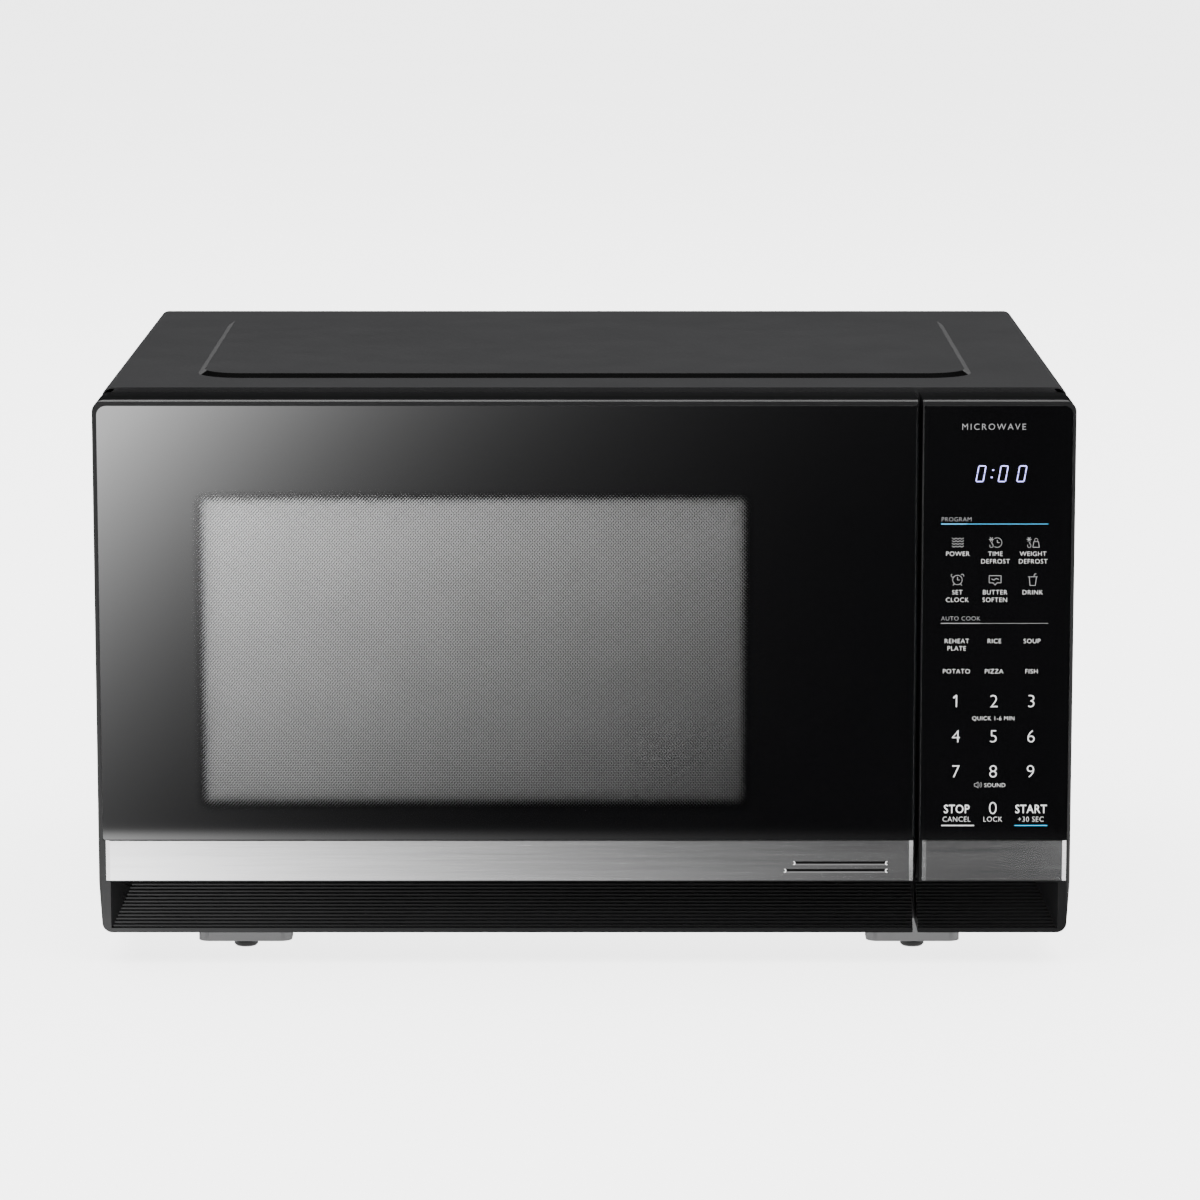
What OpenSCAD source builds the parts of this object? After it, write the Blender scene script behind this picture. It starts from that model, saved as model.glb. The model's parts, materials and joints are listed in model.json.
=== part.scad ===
// Countertop microwave oven with a pull-open pocket door and a touch panel.
// Millimetres, +Z up, +X right, the front faces -Y. Origin under the middle of the base.

/* [Cavity] */
// Inside width of the cooking cavity
cavity_w = 350; // [345:1:440]
// Inside height of the cooking cavity
cavity_h = 214; // [178:1:260]
// Inside depth of the cooking cavity
cavity_d = 352; // [345:1:430]
// Thickness of the cavity's steel
liner_t = 0.8; // [0.6:0.1:1.2]
/* [Cabinet] */
// Air space left of the cavity
left_air = 19.4; // [16:0.1:40]
// Width of the component bay right of the cavity
bay_w = 135.4; // [130:0.1:170]
// Height from the base to the cavity's floor
under_h = 43.2; // [42:0.1:60]
// Height from the cavity's roof to the top of the cabinet
over_h = 29; // [24:0.1:40]
// Depth from the cavity's back to the cabinet's back
rear_air = 18; // [18:0.5:40]
// Cabinet sheet thickness
sheet = 0.8; // [0.6:0.1:1.2]
// Outer bend radius of the cabinet's top edges
bend_r = 5; // [3:0.5:8]
// How far each side of the cabinet sits inside the front's edge
side_step = 2.5; // [1.5:0.1:5]
// Height of the raised field on the cabinet's top
emboss_h = 2.2; // [1:0.1:3]
// Length of the spacers behind the back plate
spacer_l = 16; // [10:1:30]
/* [Feet] */
// Height of the base above the floor
foot_h = 17; // [13:0.1:20]
// Diameter of a foot
foot_d = 12.8; // [10:0.1:18]
// Width of the pressed boss that a foot sits on
boss_w = 50; // [40:1:60]
/* [Front] */
// Thickness of the door and the control panel
door_t = 33; // [32:0.5:40]
// Gap between the door's back and the cabinet
seal_gap = 1.5; // [1:0.1:3]
// Width of the control panel
panel_w = 80.2; // [75:0.1:95]
// Gap between the door and the control panel
seam = 2.6; // [2:0.1:4]
// How far the front's top edge sits below the cabinet's top
top_step = 2.4; // [1.8:0.1:3]
// Moulded wall thickness
wall = 2.4; // [2:0.1:3]
// Outer glass thickness
glass_t = 3.2; // [3:0.1:4]
// Height of the steel strip
strip_h = 21.6; // [18:0.1:24]
// Height of the strip's lower edge above the base
strip_z = 28.2; // [28:0.1:30]
// How far the strip stands proud of the moulding
strip_proud = 0.6; // [0.4:0.1:1]
// Depth of the finger pocket
pocket_d = 26.5; // [24:0.1:27]
// Thickness of the lip under the pocket's mouth
pocket_lip = 2.4; // [2:0.1:4]
// Lap of the choke panel around the cavity's mouth
choke_lap = 13; // [10:0.5:13]
/* [Hinge and latch] */
// Distance of the hinge axis from the door's left edge
hinge_x = 7; // [6.5:0.1:7.5]
// Distance of the hinge axis from the door's back
hinge_y = 9; // [8.5:0.1:10]
// Radius of a hinge pin
pin_r = 2.5; // [2:0.1:2.6]
// Radial running clearance of pins and shafts
run_fit = 0.06; // [0.03:0.01:0.1]
// Height of a hinge bracket's tongue
tongue_t = 2.5; // [2:0.1:3]
// Upward travel of the latch hooks
latch_travel = 3; // [2:0.1:4]
// Travel of a switch plunger
plunger_travel = 1.2; // [0.8:0.1:2]
/* [Turntable] */
// Diameter of the glass tray
tray_d = 315; // [280:1:320]
// Thickness of the glass tray
tray_t = 4; // [3:0.1:5]
// Radius of a ring roller
roller_r = 7.5; // [6.5:0.1:9]
// Radius of the circle that the rollers run on
ring_r = 105; // [90:1:112]
/* [Air and power] */
// Radius of the fan blade
fan_r = 47; // [40:0.5:50]
// Side of the magnetron's yoke
mag_w = 80; // [70:1:84]
// Screw shank radius
screw_r = 2; // [1.5:0.1:2.2]

/* [Hidden] */

// ease between parts that slide or sit in each other without touching
ease = 0.3;
full = 48;
facet = 8;

// Overall layout
cabinet_w = 2 * sheet + left_air + 2 * liner_t + cavity_w + bay_w;
front_w = cabinet_w + 2 * side_step;
body_h = under_h + cavity_h + over_h;
cabinet_d = cavity_d + rear_air;
y_front = -(door_t + seal_gap + cabinet_d + spacer_l) / 2;
y_face = y_front + strip_proud;
y_door = y_front + door_t;
y_cab = y_door + seal_gap;
y_back = y_cab + cabinet_d;
z_base = foot_h;
z_top = foot_h + body_h;
z_front = z_top - top_step;
front_x = front_w / 2;
cab_x = cabinet_w / 2;
cav_x0 = -cab_x + sheet + left_air + liner_t;
cav_x1 = cav_x0 + cavity_w;
cav_z0 = z_base + under_h;
cav_z1 = cav_z0 + cavity_h;
cav_y1 = y_cab + cavity_d;
cav_xm = (cav_x0 + cav_x1) / 2;
cav_ym = (y_cab + cav_y1) / 2;
bay_x0 = cav_x1 + liner_t;
bay_x1 = cab_x - sheet;

// Cabinet details
emboss_front = 40;
emboss_back = 50;
emboss_side = 46;
emboss_r = 25;
emboss_slope = 3.5;
vent_w = 3;
vent_l = 24;
vent_pitch = 8;
vent_rows = 12;
flange_w = 12;
screw_in = 6;
screw_head_r = 3.8;
screw_head_t = 2.2;
shank_l = 5;
gland_r = 8;
gland_bore = 4.2;
gland_flange = 11;
gland_x = bay_x1 - 24;
gland_z = cav_z1 + 2;
boss_h = foot_h - 4.2;
boss_r = 6;
foot_x = [-182, 176];
foot_y = [y_cab + 11, y_back - 35];
boss_d = 21;
stem_r = 3;
spacer_x = [-160, 150];
spacer_z = z_top - 45;
spacer_w = 36;
spacer_h = 26;

// Door and panel
door_x1 = front_x - panel_w - seam;
panel_x0 = front_x - panel_w;
strip_z0 = z_base + strip_z;
strip_z1 = strip_z0 + strip_h;
strip_t = 1.2;
glass_z0 = strip_z1 + 0.3;
glass_z1 = z_front - 3.2;
glass_side = 2.6;
glass_seat = glass_t + 0.2;
web_y = y_face + glass_seat;
web_t = 2;
corner_r = 5.5;
top_r = 7;
glass_r = 5;
glass_corner = 1.2;
bond = 0.15;
taper = 1.5;
edge_r = 2;
seam_r = 0.8;
heel_r = 6;
window_side = 27;
window_z0 = cav_z0 + 21;
window_z1 = cav_z1 - 21;
window_x0 = cav_x0 + window_side;
window_x1 = cav_x1 - window_side;
window_rim = 4;
pocket_z0 = z_base + pocket_lip;
pocket_zt = strip_z0 - 1.5;
pocket_top = strip_z0 + 14;
pocket_back = 15;
pocket_wall = 5;
pocket_in = 5;
pocket_slope = 13;
pocket_edge = 2;
rib_n = 15;
rib_h = 0.9;
choke_x0 = cav_x0 - choke_lap + 0.5;
choke_x1 = cav_x1 + choke_lap;
choke_z0 = cav_z0 - choke_lap + 0.5;
choke_z1 = cav_z1 + choke_lap;
cover_t = 2.4;
choke_y = y_door - cover_t;
screen_t = 0.8;
screen_y = web_y + web_t + ease;
pan_in = 19;
hollow_x1 = door_x1 - wall;
hollow_z1 = z_front - wall - 4;

// Hinge
axis_x = -front_x + hinge_x;
axis_y = y_door - hinge_y;
tongue_w = 12;
tongue_gap = 1;
top_tongue = z_front - wall - tongue_gap - tongue_t;
low_tongue = z_base + wall + tongue_gap;
pin_l = tongue_t + 2 * tongue_gap + 8;
slot_reach = 9.5;

// Latch
latch_x = door_x1 - 21;
hook_w = 12;
hook_h = 9;
hook_t = 6;
hook_reach = 24;
hook_nose = 3;
hook_z = [cav_z0 + 42, cav_z0 + 158];
latch_bar_y = y_door - 15;
latch_top = hook_z[1] + hook_h / 2;
spring_r = 2.6;
spring_wire = 0.5;
spring_l = 18;
spring_turns = 9;
spring_sides = 6;
spring_steps = 14;
slot_side = 2.6;
switch_l = 22;
switch_h = 18;
switch_w = 6.4;
plunger_w = 2.4;
plunger_l = 5;
switch_y = y_door + hook_reach + plunger_travel + 3;

// Turntable
ring_w = 5;
ring_t = 3;
roller_w = 7;
axle_r = 1.6;
roller_z = cav_z0 + ease + roller_r;
tray_z = roller_z + roller_r + ease;
tray_rise = 12;
shaft_r = 3;
coupler_r = 12;
lobe_r = 5;
lobe_at = 16;
motor_r = 24;
motor_t = 18;

// Air and power
wg_d = 36;
mag_y = cav_ym + 12;
mag_z = cav_z0 + 134;
wg_half = 40;
wg_z0 = cav_z0 + 62;
wg_z1 = mag_z + 36;
wg_x1 = bay_x0 + wg_d;
feed_half = 30;
feed_h = 48;
cap_r = 8;
tube_r = 19;
yoke_x0 = wg_x1 + 2;
yoke_d = 46;
filter_d = 28;
board_z = z_base + 16;
board_t = 1.6;
board_x0 = bay_x0 + 6;
board_x1 = bay_x1 - 8;
board_y0 = mag_y - 90;
board_y1 = mag_y + 70;
post_in = 6;
post_r = 3.5;
duct_y0 = switch_y + switch_l + 6;
fan_x = (bay_x0 + bay_x1) / 2;
fan_z = cav_z0 + 84;
fan_y = y_back - 34;
fan_shaft_r = 2.5;
hub_r = 13;
blade_n = 7;
blade_t = 1.4;
blade_tilt = 32;
blade_w = 20;
shroud_t = 2;
roll = 360;
lamp_y = cav_y1 - 70;
lamp_z = cav_z1 - 26;

// A block between two corners
module block(x0, x1, y0, y1, z0, z1) {
    translate([x0, y0, z0]) cube([x1 - x0, y1 - y0, z1 - z0]);
}

// A rectangle with round corners
module rrect(a0, a1, b0, b1, r) {
    translate([a0 + r, b0]) square([a1 - a0 - 2 * r, b1 - b0]);
    translate([a0, b0 + r]) square([a1 - a0, b1 - b0 - 2 * r]);
    for (a = [a0 + r, a1 - r], b = [b0 + r, b1 - r]) translate([a, b]) circle(r, $fn = full);
}

// Extrudes an outline drawn in x and z along y
module along_y(y0, y1) {
    translate([0, y1, 0]) rotate([90, 0, 0]) linear_extrude(y1 - y0) children();
}

// Extrudes an outline drawn in y and z along x
module along_x(x0, x1) {
    translate([x0, 0, 0]) rotate([90, 0, 90]) linear_extrude(x1 - x0) children();
}

// A round bar along y
module bar_y(x, z, y0, y1, r) {
    translate([x, y1, z]) rotate([90, 0, 0]) cylinder(h = y1 - y0, r = r, $fn = full);
}

// A round bar along x
module bar_x(y, z, x0, x1, r) {
    translate([x0, y, z]) rotate([0, 90, 0]) cylinder(h = x1 - x0, r = r, $fn = full);
}

function arc(cx, cy, r, a0, a1) =
    [for (i = [0:facet]) let (a = a0 + (a1 - a0) * i / facet) [cx + r * cos(a), cy + r * sin(a)]];

// ---- cabinet ----

module wrap_outline(inset) {
    difference() {
        rrect(-cab_x + inset, cab_x - inset, z_base - bend_r, z_top - inset, bend_r - inset);
        translate([-front_w, z_base - front_w]) square([2 * front_w, front_w]);
    }
}

// The raised field, with sloping sides
module emboss(drop) {
    x = cab_x - emboss_side;
    y0 = y_cab + emboss_front;
    y1 = y_back - emboss_back;
    hull() {
        translate([0, 0, z_top - drop - 0.01]) linear_extrude(0.01)
            rrect(-x, x, y0, y1, emboss_r, $fn = 32);
        translate([0, 0, z_top - drop + emboss_h - 0.01]) linear_extrude(0.01)
            rrect(-x + emboss_slope, x - emboss_slope, y0 + emboss_slope, y1 - emboss_slope,
                emboss_r - emboss_slope);
    }
}

module side_vents(side, y0, columns) {
    for (i = [0:columns - 1], j = [0:vent_rows - 1])
        translate([side * (cab_x - sheet / 2), y0 + i * (vent_l + vent_pitch),
                z_base + under_h + j * vent_pitch])
            cube([2 * sheet, vent_l, vent_w], center = true);
}

module wrap_screw_places() {
    for (s = [-1, 1], z = [z_base + 40, z_top - 60]) translate([s * (cab_x - screw_in), y_back, z])
        children();
    for (s = [-1, 1]) translate([s * cab_x / 2, y_back, z_top - screw_in]) children();
}

module cabinet_wrap() color([0.16, 0.16, 0.17]) difference() {
    union() {
        along_y(y_cab, y_back + sheet) difference() {
            wrap_outline(0);
            wrap_outline(sheet);
        }
        along_y(y_back, y_back + sheet) difference() {
            wrap_outline(0);
            translate([-cab_x + flange_w, 0]) square([cabinet_w - 2 * flange_w, z_top - flange_w]);
        }
        emboss(0);
    }
    emboss(sheet);
    side_vents(1, y_back - 110, 2);
    side_vents(-1, y_cab + 60, 2);
    wrap_screw_places() bar_y(0, 0, -2 * shank_l, 2 * shank_l, screw_r + run_fit);
}

module back_vents() {
    for (i = [-5:5], j = [-5:5]) if (norm([i, j]) < 5.5)
        translate([fan_x + i * vent_pitch, y_back, fan_z + j * vent_pitch])
            cube([vent_pitch - 2.5, 4, vent_pitch - 3], center = true);
    for (i = [0:9]) translate([cav_xm - 40 + i * vent_pitch, y_back, cav_z1 - 30])
        cube([vent_w, 4, vent_l], center = true);
}

module back_plate() color([0.2, 0.2, 0.21]) difference() {
    block(-bay_x1, bay_x1, y_back - sheet, y_back, z_base + sheet, z_top - sheet);
    back_vents();
    bar_y(gland_x, gland_z, y_back - 4, y_back + 4, gland_r + ease / 2);
    wrap_screw_places() bar_y(0, 0, -2 * shank_l, 2 * shank_l, screw_r + run_fit);
    for (x = spacer_x) bar_y(x, spacer_z, y_back - 4, y_back + 4, stem_r + ease / 2);
    for (s = [-1, 1]) translate([s * bay_x1, y_back, z_top - sheet]) rotate([0, 45, 0])
        cube(2 * (bend_r - sheet), center = true);
}

module base_plate() color([0.55, 0.56, 0.57]) difference() {
    union() {
        block(-bay_x1, bay_x1, y_cab + sheet, y_back, z_base, z_base + sheet);
        for (x = foot_x, y = foot_y) translate([0, 0, z_base - boss_h])
            linear_extrude(boss_h) rrect(x - boss_w / 2, x + boss_w / 2, y - boss_d / 2,
                y + boss_d / 2, boss_r);
    }
    for (x = foot_x, y = foot_y) {
        translate([0, 0, z_base - boss_h + sheet]) linear_extrude(boss_h)
            rrect(x - boss_w / 2 + sheet, x + boss_w / 2 - sheet, y - boss_d / 2 + sheet,
                y + boss_d / 2 - sheet, boss_r - sheet);
        translate([x, y, 0]) cylinder(h = z_base, r = stem_r + ease / 2, $fn = full);
    }
    for (i = [0:9], j = [0:3])
        translate([board_x0 + 10 + i * 11, board_y0 + 20 + j * 32, z_base])
            cube([vent_w, vent_l, 4], center = true);
}

module feet() color([0.08, 0.08, 0.08]) for (x = foot_x, y = foot_y) translate([x, y, 0])
    rotate_extrude($fn = full) polygon([[0, 0], [foot_d / 2 - 1, 0], [foot_d / 2, 1],
        [foot_d / 2, foot_h - boss_h - 1.5], [foot_d / 2 - 1.4, foot_h - boss_h - 1.5],
        [foot_d / 2 - 1.4, foot_h - boss_h], [stem_r, foot_h - boss_h],
        [stem_r, foot_h - boss_h + 3], [0, foot_h - boss_h + 3]]);

module cabinet_screws() color([0.75, 0.75, 0.76]) wrap_screw_places() {
    bar_y(0, 0, sheet, sheet + screw_head_t, screw_head_r);
    bar_y(0, 0, sheet - shank_l, sheet + 0.1, screw_r);
}

module cord_gland() color([0.07, 0.07, 0.07]) translate([gland_x, y_back, gland_z])
    rotate([90, 0, 0]) rotate_extrude($fn = full) polygon([[gland_bore, -10], [gland_r - 1, -10],
        [gland_flange, -3], [gland_flange, 0], [gland_r, 0], [gland_r, 6], [gland_bore, 6]]);

module rear_spacers() color([0.1, 0.1, 0.1]) for (x = spacer_x) {
    difference() {
        along_y(y_back, y_back + spacer_l)
            rrect(x - spacer_w / 2, x + spacer_w / 2, spacer_z - spacer_h / 2,
                spacer_z + spacer_h / 2, 5);
        along_y(y_back + 3, y_back + spacer_l - 3)
            rrect(x - spacer_w / 2 + 3, x + spacer_w / 2 - 3, spacer_z - spacer_h,
                spacer_z + spacer_h / 2 - 3, 3);
    }
    bar_y(x, spacer_z, y_back - 5, y_back + 1, stem_r);
}

module mouth_slots(side) for (z = hook_z)
    block(latch_x - hook_w / 2 - side, latch_x + hook_w / 2 + side, y_cab - 5, y_cab + 5,
        z - hook_h / 2 - hook_nose - side, z + hook_h / 2 + latch_travel + side);

module front_plate() color([0.6, 0.61, 0.62]) difference() {
    block(-bay_x1, bay_x1, y_cab, y_cab + sheet, z_base, z_top - sheet);
    along_y(y_cab - 1, y_cab + 2) rrect(cav_x0, cav_x1, cav_z0, cav_z1, 4);
    mouth_slots(slot_side);
    block(panel_x0 + 20, bay_x1 - 20, y_cab - 1, y_cab + 2, cav_z0 + 60, cav_z0 + 160);
    for (s = [-1, 1]) translate([s * bay_x1, y_cab, z_top - sheet]) rotate([0, 45, 0])
        cube(2 * (bend_r - sheet), center = true);
}

// ---- cavity ----

module cavity_liner() color([0.72, 0.72, 0.71]) difference() {
    block(cav_x0 - liner_t, bay_x0, y_cab + sheet, cav_y1 + liner_t, cav_z0 - liner_t,
        cav_z1 + liner_t);
    translate([0, 1, 0]) along_y(y_cab - 2, cav_y1 - 1) rrect(cav_x0, cav_x1, cav_z0, cav_z1, 4);
    translate([cav_xm, cav_ym, cav_z0 - 5]) cylinder(h = 9, r = shaft_r + 3, $fn = full);
    block(cav_x1 - 1, bay_x0 + 1, mag_y - feed_half, mag_y + feed_half, wg_z0 + 6,
        wg_z0 + 6 + feed_h);
    for (i = [0:7], j = [0:5]) {
        bar_x(lamp_y - 20 + i * 6, lamp_z - 14 + j * 6, cav_x1 - 1, bay_x0 + 1, 1.5);
        bar_x(duct_y0 + 4 + i * 5, mag_z - 14 + j * 6, cav_x1 - 1, bay_x0 + 1, 1.5);
        translate([cav_x0 + 50 + i * 6, cav_y1 - 60 + j * 6, cav_z1 - 1])
            cylinder(h = 3, r = 1.5, $fn = 16);
    }
}

module waveguide_cover() color([0.78, 0.72, 0.6])
    along_x(cav_x1 - 0.6, cav_x1) rrect(mag_y - feed_half - 8, mag_y + feed_half + 8, wg_z0 - 2,
        wg_z0 + feed_h + 14, 4);

module cavity_lamp() color([0.95, 0.93, 0.85]) {
    bar_x(lamp_y, lamp_z, bay_x0 + 6, bay_x0 + 24, 9);
    bar_x(lamp_y, lamp_z, bay_x0 + 24, bay_x0 + 32, 6);
}

module lamp_holder() color([0.85, 0.85, 0.82]) difference() {
    block(bay_x0, bay_x0 + 40, lamp_y - 24, lamp_y + 24, lamp_z - 18, lamp_z + 18);
    block(bay_x0 - 1, bay_x0 + 30, lamp_y - 22, lamp_y + 22, lamp_z - 16, lamp_z + 16);
    bar_x(lamp_y, lamp_z, bay_x0 + 29, bay_x0 + 41, 6);
}

// ---- turntable ----

module glass_tray() color([0.8, 0.9, 0.9, 0.5]) translate([cav_xm, cav_ym, tray_z]) {
    rotate_extrude($fn = 96) polygon([[0, 0], [tray_d / 2 - 22, 0], [tray_d / 2 - 12, 1.5],
        [tray_d / 2 - 3, tray_rise - 2.5], [tray_d / 2, tray_rise], [tray_d / 2 - 1.5, tray_rise + 1.5],
        [tray_d / 2 - 4, tray_rise + 0.5], [tray_d / 2 - 16, tray_t + 1], [tray_d / 2 - 24, tray_t],
        [0, tray_t]]);
    for (a = [60:120:300]) rotate(a) translate([lobe_at, 0, -4])
        cylinder(h = 4.5, r = 3, $fn = full);
}

module roller_ring() color([0.9, 0.9, 0.88]) translate([cav_xm, cav_ym, roller_z]) {
    difference() {
        union() {
            translate([0, 0, -ring_t / 2]) difference() {
                cylinder(h = ring_t, r = ring_r - roller_w / 2 - 1, $fn = 96);
                translate([0, 0, -1]) cylinder(h = ring_t + 2, r = ring_r - roller_w / 2 - 1 - ring_w,
                    $fn = 96);
            }
            for (a = [0:120:240]) rotate(a) translate([ring_r - roller_w / 2 - ring_w, 0, 0])
                rotate([0, 90, 0]) cylinder(h = ring_w, r = 4, $fn = full);
        }
    }
    for (a = [0:120:240]) rotate(a) translate([ring_r - roller_w / 2 - 1, 0, 0])
        rotate([0, 90, 0]) {
            cylinder(h = roller_w + 3, r = axle_r, $fn = full);
            translate([0, 0, roller_w + 2]) cylinder(h = 1.5, r = axle_r + 1, $fn = full);
        }
}

module ring_roller(a) color([0.93, 0.93, 0.9]) translate([cav_xm, cav_ym, roller_z]) rotate(a)
    translate([ring_r - roller_w / 2 + 0.2, 0, 0]) rotate([0, 90, 0]) difference() {
        cylinder(h = roller_w, r = roller_r, $fn = full);
        translate([0, 0, -1]) cylinder(h = roller_w + 2, r = axle_r + run_fit, $fn = full);
    }
module ring_roller_1() ring_roller(0);
module ring_roller_2() ring_roller(120);
module ring_roller_3() ring_roller(240);

module drive_coupler() color([0.88, 0.88, 0.85]) translate([cav_xm, cav_ym, cav_z0 + 1])
    difference() {
        union() {
            cylinder(h = 9, r = coupler_r, $fn = full);
            for (a = [0:120:240]) rotate(a) translate([lobe_at - 4, 0, 0])
                cylinder(h = tray_z - cav_z0 - 1.3, r = lobe_r, $fn = full);
        }
        translate([0, 0, -1]) cylinder(h = 8, r = shaft_r, $fn = full);
    }

module turntable_shaft() color([0.7, 0.7, 0.7]) translate([cav_xm, cav_ym, z_base + 6])
    cylinder(h = cav_z0 + 8 - z_base - 6, r = shaft_r, $fn = full);

module turntable_motor() color([0.62, 0.63, 0.65]) translate([cav_xm, cav_ym, 0]) difference() {
    union() {
        translate([0, 0, cav_z0 - liner_t - motor_t - 3]) cylinder(h = motor_t, r = motor_r, $fn = full);
        translate([0, 0, cav_z0 - liner_t - 3]) cylinder(h = 3, r = 9, $fn = full);
        translate([0, 0, cav_z0 - liner_t - 5]) linear_extrude(1.5)
            rrect(-motor_r - 9, motor_r + 9, -7, 7, 5);
    }
    translate([0, 0, z_base]) cylinder(h = under_h, r = shaft_r + run_fit, $fn = full);
}

// ---- microwave source ----

module waveguide() color([0.66, 0.67, 0.68]) difference() {
    union() {
        block(bay_x0, wg_x1, mag_y - wg_half, mag_y + wg_half, wg_z0, wg_z1);
        block(bay_x0, bay_x0 + 1, mag_y - wg_half - 8, mag_y + wg_half + 8, wg_z0 - 8, wg_z1 + 8);
    }
    block(bay_x0 - 1, wg_x1 - 1, mag_y - wg_half + 1, mag_y + wg_half - 1, wg_z0 + 1, wg_z1 - 1);
    bar_x(mag_y, mag_z, wg_x1 - 5, wg_x1 + 5, tube_r - 3);
}

module magnetron_tube() color([0.8, 0.55, 0.4]) {
    bar_x(mag_y, mag_z, wg_x1 - 14, wg_x1 + 2, cap_r);
    bar_x(mag_y, mag_z, wg_x1 - 20, wg_x1 - 14, cap_r - 2);
    bar_x(mag_y, mag_z, yoke_x0 + 11, yoke_x0 + yoke_d - 11, tube_r);
    bar_x(mag_y, mag_z, wg_x1 + 1, yoke_x0 + yoke_d + 8, 9);
}

module magnetron_fins() color([0.82, 0.83, 0.84]) for (i = [0:5]) difference() {
    translate([yoke_x0 + 12 + i * 4, mag_y - mag_w / 2 + 4, mag_z - mag_w / 2 + 3])
        cube([0.8, mag_w - 8, mag_w - 6]);
    bar_x(mag_y, mag_z, yoke_x0, yoke_x0 + yoke_d, tube_r + run_fit);
}

module magnetron_magnets() color([0.15, 0.15, 0.16])
    for (x = [yoke_x0 + 1.6, yoke_x0 + yoke_d - 10.6]) difference() {
        bar_x(mag_y, mag_z, x, x + 9, 27);
        bar_x(mag_y, mag_z, x - 1, x + 10, 10);
    }

module magnetron_yoke() color([0.7, 0.7, 0.68]) difference() {
    block(yoke_x0, yoke_x0 + yoke_d, mag_y - mag_w / 2, mag_y + mag_w / 2, mag_z - mag_w / 2,
        mag_z + mag_w / 2);
    block(yoke_x0 + 1.5, yoke_x0 + yoke_d - 1.5, mag_y - mag_w, mag_y + mag_w,
        mag_z - mag_w / 2 + 1.5, mag_z + mag_w / 2 - 1.5);
    bar_x(mag_y, mag_z, yoke_x0 - 1, yoke_x0 + yoke_d + 1, 9.5);
}

module magnetron_filter_box() color([0.75, 0.76, 0.77]) difference() {
    block(yoke_x0 + yoke_d, yoke_x0 + yoke_d + filter_d, mag_y - 32, mag_y + 32, mag_z - 30,
        mag_z + 30);
    block(yoke_x0 + yoke_d + 1, yoke_x0 + yoke_d + filter_d - 1, mag_y - 31, mag_y + 31,
        mag_z - 29, mag_z + 29);
    bar_x(mag_y, mag_z, yoke_x0 + yoke_d - 1, yoke_x0 + yoke_d + 2, 9.5);
}

// ---- power ----

module post_places() for (x = [board_x0 + post_in, board_x1 - post_in],
        y = [board_y0 + post_in, board_y1 - post_in]) translate([x, y, 0]) children();

module inverter_board() color([0.1, 0.35, 0.18]) difference() {
    block(board_x0, board_x1, board_y0, board_y1, board_z, board_z + board_t);
    post_places() cylinder(h = 2 * board_z, r = 2, $fn = full);
}

module board_posts() color([0.85, 0.85, 0.8]) post_places() {
    translate([0, 0, z_base + sheet]) cylinder(h = board_z - z_base - sheet, r = post_r, $fn = full);
    translate([0, 0, board_z]) cylinder(h = board_t + 2, r = 2 - run_fit, $fn = full);
}

module inverter_heat_sink() color([0.8, 0.8, 0.82]) for (i = [0:7]) {
    block(board_x0 + 10, board_x0 + 13, board_y0 + 20, board_y0 + 92, board_z + board_t,
        board_z + 46);
    block(board_x0 + 12, board_x0 + 32, board_y0 + 20 + i * 10, board_y0 + 22 + i * 10,
        board_z + board_t + 4, board_z + 46);
}

module inverter_transformer() color([0.3, 0.3, 0.32]) {
    block(board_x1 - 62, board_x1 - 14, board_y0 + 16, board_y0 + 30, board_z + board_t,
        board_z + 48);
    block(board_x1 - 62, board_x1 - 14, board_y0 + 58, board_y0 + 72, board_z + board_t,
        board_z + 48);
    bar_y(board_x1 - 38, board_z + 25, board_y0 + 30, board_y0 + 58, 21);
}

module inverter_capacitors() color([0.75, 0.6, 0.2]) {
    for (i = [0:2]) translate([board_x1 - 20 - i * 24, board_y1 - 40, board_z + board_t])
        cylinder(h = 26, r = 9, $fn = full);
    block(board_x1 - 66, board_x1 - 26, board_y1 - 26, board_y1 - 12, board_z + board_t, board_z + 26);
}

module mains_filter_board() color([0.12, 0.4, 0.22]) {
    block(bay_x0 + 10, bay_x0 + 80, y_back - 9, y_back - 7.4, cav_z1 - 44, z_top - 6);
    translate([bay_x0 + 34, y_back - 9, cav_z1 - 8]) rotate([90, 0, 0])
        rotate_extrude($fn = full) translate([7, 6]) square([6, 6]);
    block(bay_x0 + 27, bay_x0 + 41, y_back - 21, y_back - 9, cav_z1 - 40, cav_z1 - 28);
}

module mains_fuse() color([0.9, 0.9, 0.92]) {
    block(bay_x0 + 54, bay_x0 + 72, y_back - 13, y_back - 9, cav_z1 - 34, cav_z1 + 4);
    translate([bay_x0 + 63, y_back - 16, cav_z1 - 31]) cylinder(h = 32, r = 3, $fn = full);
}

// ---- air ----

module fan_shroud() color([0.2, 0.2, 0.2]) difference() {
    union() {
        block(bay_x0 + 2, bay_x1 - 2, fan_y - 2, fan_y, fan_z - fan_r - 12, fan_z + fan_r + 12);
        bar_y(fan_x, fan_z, fan_y - 2, y_back - 9, fan_r + 2 + shroud_t);
    }
    bar_y(fan_x, fan_z, fan_y - 3, y_back - 8, fan_r + 2);
}

module fan_blade() color([0.35, 0.35, 0.36]) translate([fan_x, fan_y + 12, fan_z])
    rotate([90, 0, 0]) difference() {
        union() {
            translate([0, 0, -8]) cylinder(h = 16, r = hub_r, $fn = full);
            for (i = [0:blade_n - 1]) rotate(i * roll / blade_n) intersection() {
                translate([hub_r - 1, 0, 0]) rotate([blade_tilt, 0, 0])
                    translate([0, -blade_w / 2, -blade_t / 2])
                        cube([fan_r - hub_r, blade_w, blade_t]);
                translate([0, 0, -10]) cylinder(h = 20, r = fan_r, $fn = 96);
            }
        }
        translate([0, 0, -9]) cylinder(h = 18, r = fan_shaft_r, $fn = full);
    }

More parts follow.
